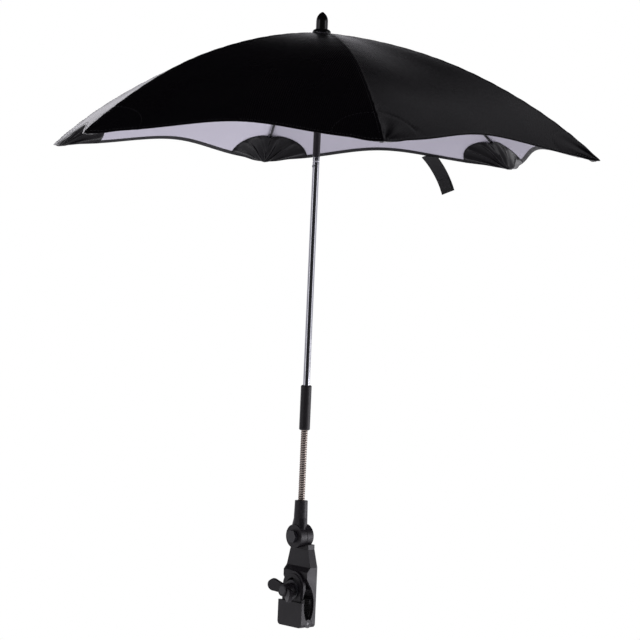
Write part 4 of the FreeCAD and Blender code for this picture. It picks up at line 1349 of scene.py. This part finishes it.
@dataclass
class Hardware:
    """The rigid pieces: the CAD solids, dressed in the finish of their slot."""

    def dress(self) -> None:
        """Gives every CAD node its finish."""
        for name, node in sorted(frame["nodes"].items()):
            slot = Slot(node.data.materials[0].name.split(".")[0])
            node.data.materials[0] = SLOT_FINISHES[slot].material()
            LOG.info("%s: %s", name, SLOT_FINISHES[slot].name)


@dataclass(frozen=True)
class Lamp:
    """A soft box, or a card that a shiny cloth mirrors; it is aimed at the canopy.

    It hangs turn degrees round the object from the camera, anticlockwise seen from above, rise degrees
    above the horizon and away metres from its aim. Its size is the width and height of its face, and its
    power is in watts.
    """

    name: str
    turn: float
    rise: float
    away: float
    size: tuple[float, float]
    power: float


LAMPS = (
    Lamp("softbox_left", -60.0, 4.0, 2.6, (0.9, 1.6), 7.0),
    Lamp("softbox_right", 74.0, 0.0, 2.4, (1.0, 1.5), 8.0),
    Lamp("softbox_low", 92.0, -20.0, 2.2, (1.0, 0.8), 17.0),
    Lamp("card_rear_right", 136.0, 41.0, 2.3, (1.0, 0.8), 0.48),
    Lamp("card_rear", 170.0, 30.0, 2.3, (1.0, 0.55), 0.13),
    Lamp("card_rear_left", 200.0, 13.0, 2.3, (1.2, 0.5), 0.9),
)


@dataclass
class Studio:
    """A pale floor, a white sweep, soft lamps and the camera."""

    # The camera, matched to the photograph, with its angles in radians
    azimuth: float = math.radians(48.19)
    distance: float = 3.0
    height: float = 0.4541
    yaw: float = 0.00464
    pitch: float = -0.02745
    roll: float = 0.04345
    focal_pixels: float = 2329.4
    frame_pixels: float = 640.0
    sensor: float = 36.0
    sight: float = 100.0

    # The light; the sweep fades with a ray's rise and with how far it looks away from the camera
    lamps: tuple[Lamp, ...] = LAMPS
    aim: tuple[float, float, float] = (0.0, 0.0, 0.55)
    light_tint: str = "#faf8ff"
    daylight: float = 0.62
    sweep_rise: tuple[float, float] = (0.1, 0.43)
    sweep_depth: tuple[float, float] = (-0.55, 0.95)
    ceiling: float = 0.003
    room: float = 0.05

    # The floor; it glows more towards its rim, where it meets the sweep
    floor_colour: str = "#f2f2f3"
    floor_roughness: float = 0.9
    floor_height: float = -0.9
    floor_radius: float = 4.5
    floor_corners: int = 96
    glow_start: float = 1.2
    glow: tuple[float, float] = (0.05, 0.7)

    # The flag, which hangs at so many times the camera's distance
    flag_colour: str = "#0a0a0a"
    flag_away: float = 1.2
    flag_half_width: float = 0.7
    flag_heights: tuple[float, float] = (-0.9, 1.8)

    def camera_place(self) -> Vector:
        """Returns the camera's place."""
        flat = Vector((math.sin(self.azimuth), -math.cos(self.azimuth), 0.0)) * self.distance
        return flat + Vector((0.0, 0.0, self.height))

    def camera(self) -> None:
        """Places the camera at the photograph's angle."""
        ahead = Vector((-math.sin(self.azimuth), math.cos(self.azimuth), 0.0))
        up = Vector((0.0, 0.0, 1.0))
        right = ahead.cross(up)
        ahead, right = self.turned(ahead, right, self.yaw)
        ahead, up = self.turned(ahead, up, self.pitch)
        right, up = self.turned(right, up, self.roll)
        data = bpy.data.cameras.new("photo_camera")
        data.sensor_width = self.sensor
        data.lens = self.focal_pixels * self.sensor / self.frame_pixels
        data.clip_end = self.sight
        made = linked("photo_camera", data)
        facing = Matrix((right, up, -ahead)).transposed().to_4x4()
        made.matrix_world = Matrix.Translation(self.camera_place()) @ facing
        bpy.context.scene.camera = made

    @staticmethod
    def turned(first: Vector, second: Vector, angle: float) -> tuple[Vector, Vector]:
        """Turns two square vectors in their own plane.

        Args:
            first: The vector that turns towards the second.
            second: The second vector.
            angle: The angle in radians.

        Returns:
            Both vectors, turned.
        """
        turned_first = first * math.cos(angle) + second * math.sin(angle)
        return turned_first, second * math.cos(angle) - first * math.sin(angle)

    def sweep(self) -> None:
        """Makes the world: a white sweep behind the object, and a dark room above it and round the camera.

        The camera sees plain white. Shiny surfaces mirror the sweep and the room, and dull ones are lit
        evenly.
        """
        world = bpy.data.worlds.new("white_sweep")
        bpy.context.scene.world = world
        tree = empty_tree(world)
        direction = add_node(tree, "TexCoord").outputs["Generated"]
        rise = add_node(tree, "SeparateXYZ", {0: direction}).outputs["Z"]
        low, high = self.sweep_rise
        below = add_node(tree, "MapRange", {
            "Value": rise, "From Min": low, "From Max": high, "To Min": 1.0, "To Max": self.ceiling,
        }, interpolation_type="SMOOTHSTEP").outputs["Result"]
        ahead = -self.camera_place()
        depth = add_node(
            tree, "VectorMath", {0: direction, 1: (ahead.x / self.distance, ahead.y / self.distance, 0.0)},
            operation="DOT_PRODUCT",
        ).outputs["Value"]
        near, far = self.sweep_depth
        beyond = add_node(tree, "MapRange", {
            "Value": depth, "From Min": near, "From Max": far, "To Min": self.room, "To Max": 1.0,
        }, interpolation_type="SMOOTHSTEP").outputs["Result"]
        mirrored = add_node(tree, "Math", {0: below, 1: beyond}, operation="MULTIPLY").outputs["Value"]
        camera_ray = add_node(tree, "LightPath").outputs["Is Camera Ray"]
        seen = add_node(tree, "Math", {0: mirrored, 1: camera_ray}, operation="MAXIMUM").outputs["Value"]
        lit = add_node(tree, "Mix", {
            MIX_FACTOR: self.looked_at(tree), NUMBER_A: self.daylight, NUMBER_B: seen,
        }, data_type="FLOAT").outputs[NUMBER_OUT]
        tint = add_node(tree, "Mix", {
            MIX_FACTOR: camera_ray, COLOUR_A: linear(self.light_tint), COLOUR_B: linear("#ffffff"),
        }, data_type="RGBA").outputs[COLOUR_OUT]
        light = add_node(tree, "Background", {"Color": tint, "Strength": lit})
        add_node(tree, "OutputWorld", {"Surface": light.outputs["Background"]})

    @staticmethod
    def looked_at(tree: Tree) -> Socket:
        """Adds the test for rays that show a picture: the camera's, and those of mirrors and clear things.

        Args:
            tree: The node tree that it goes into.

        Returns:
            The socket that is 1 for such a ray and 0 for one that only lights.
        """
        path = add_node(tree, "LightPath").outputs
        mirrored = add_node(
            tree, "Math", {0: path["Is Glossy Ray"], 1: path["Is Transmission Ray"]}, operation="MAXIMUM"
        ).outputs["Value"]
        return add_node(
            tree, "Math", {0: mirrored, 1: path["Is Camera Ray"]}, operation="MAXIMUM"
        ).outputs["Value"]

    @staticmethod
    def panel(
        name: str, corners: list[tuple[float, ...]], material: bpy.types.Material
    ) -> bpy.types.Object:
        """Makes a flat panel of one face.

        Args:
            name: The panel's name.
            corners: Its corners in order.
            material: Its material.

        Returns:
            The panel.
        """
        mesh = bpy.data.meshes.new(name)
        mesh.from_pydata(corners, [], [list(range(len(corners)))])
        mesh.materials.append(material)
        return linked(name, mesh)

    def floor(self) -> None:
        """Lays a pale floor well below the clamp; the canopy shades it, and it fades into the sweep."""
        material = bpy.data.materials.new("floor_painted_pale")
        tree = empty_tree(material)
        place = add_node(tree, "TexCoord").outputs["Object"]
        away = add_node(tree, "VectorMath", {0: place}, operation="LENGTH").outputs["Value"]
        middle, rim = self.glow
        fade = add_node(tree, "MapRange", {
            "Value": away, "From Min": self.glow_start, "From Max": self.floor_radius,
            "To Min": middle, "To Max": rim,
        }).outputs["Result"]
        glow = add_node(
            tree, "Math", {0: fade, 1: self.looked_at(tree)}, operation="MULTIPLY"
        ).outputs["Value"]
        paint = add_node(tree, "BsdfPrincipled", {
            "Base Color": linear(self.floor_colour), "Roughness": self.floor_roughness,
        })
        fading = add_node(tree, "Emission", {"Strength": glow})
        both = add_node(tree, "AddShader", {0: paint.outputs["BSDF"], 1: fading.outputs["Emission"]})
        add_node(tree, "OutputMaterial", {"Surface": both.outputs["Shader"]})
        turn = full_turn(self.floor_corners)
        corners = stacked(np.cos(turn), np.sin(turn), 0.0) * self.floor_radius
        floor = self.panel("floor", corners.tolist(), material)
        floor.location.z = self.floor_height

    def flag(self) -> None:
        """Hangs a dark flag round the camera, which draws the dark line down the middle of the chrome."""
        material = bpy.data.materials.new("flag_black_felt")
        tree = empty_tree(material)
        felt = add_node(tree, "BsdfPrincipled", {"Base Color": linear(self.flag_colour), "Roughness": 1.0})
        add_node(tree, "OutputMaterial", {"Surface": felt.outputs["BSDF"]})
        back = self.camera_place()
        middle = Vector((back.x, back.y, 0.0)) * self.flag_away
        side = Vector((-back.y, back.x, 0.0)).normalized() * self.flag_half_width
        low, high = self.flag_heights
        corners = [
            tuple(middle + side * x + Vector((0, 0, z)))
            for x, z in ((-1, low), (1, low), (1, high), (-1, high))
        ]
        flag = self.panel("flag", corners, material)
        flag.visible_camera = flag.visible_diffuse = flag.visible_shadow = False

    def hang(self, lamp: Lamp) -> None:
        """Hangs one lamp, aimed at the canopy.

        Args:
            lamp: The lamp.
        """
        around, up = self.azimuth + math.radians(lamp.turn), math.radians(lamp.rise)
        way = Vector((math.sin(around) * math.cos(up), -math.cos(around) * math.cos(up), math.sin(up)))
        data = bpy.data.lights.new(lamp.name, "AREA")
        data.shape = "RECTANGLE"
        data.size, data.size_y = lamp.size
        data.energy = lamp.power
        data.color = linear(self.light_tint)[:3]
        made = linked(lamp.name, data)
        made.location = Vector(self.aim) + way * lamp.away
        made.rotation_euler = way.to_track_quat("Z", "Y").to_euler()

    def build(self) -> None:
        """Sets up the whole studio."""
        bpy.context.scene.view_settings.view_transform = "Standard"
        self.sweep()
        self.floor()
        self.flag()
        for lamp in self.lamps:
            self.hang(lamp)
        self.camera()


def clear_startup() -> None:
    """Removes what a new Blender file holds besides the frame."""
    kept = set(frame["nodes"].values()) | set(frame["bodies"].values())
    for thing in set(bpy.data.objects) - kept:
        bpy.data.objects.remove(thing)


def main() -> None:
    """Builds the pieces in order."""
    logging.basicConfig(level=logging.INFO, format="%(name)s: %(message)s")
    clear_startup()
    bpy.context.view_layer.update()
    Hardware().dress()
    Gooseneck().build()
    canopy = Canopy()
    canopy.build()
    ClosureStrap(canopy).build()
    Studio().build()


if __name__ == "__main__":
    main()
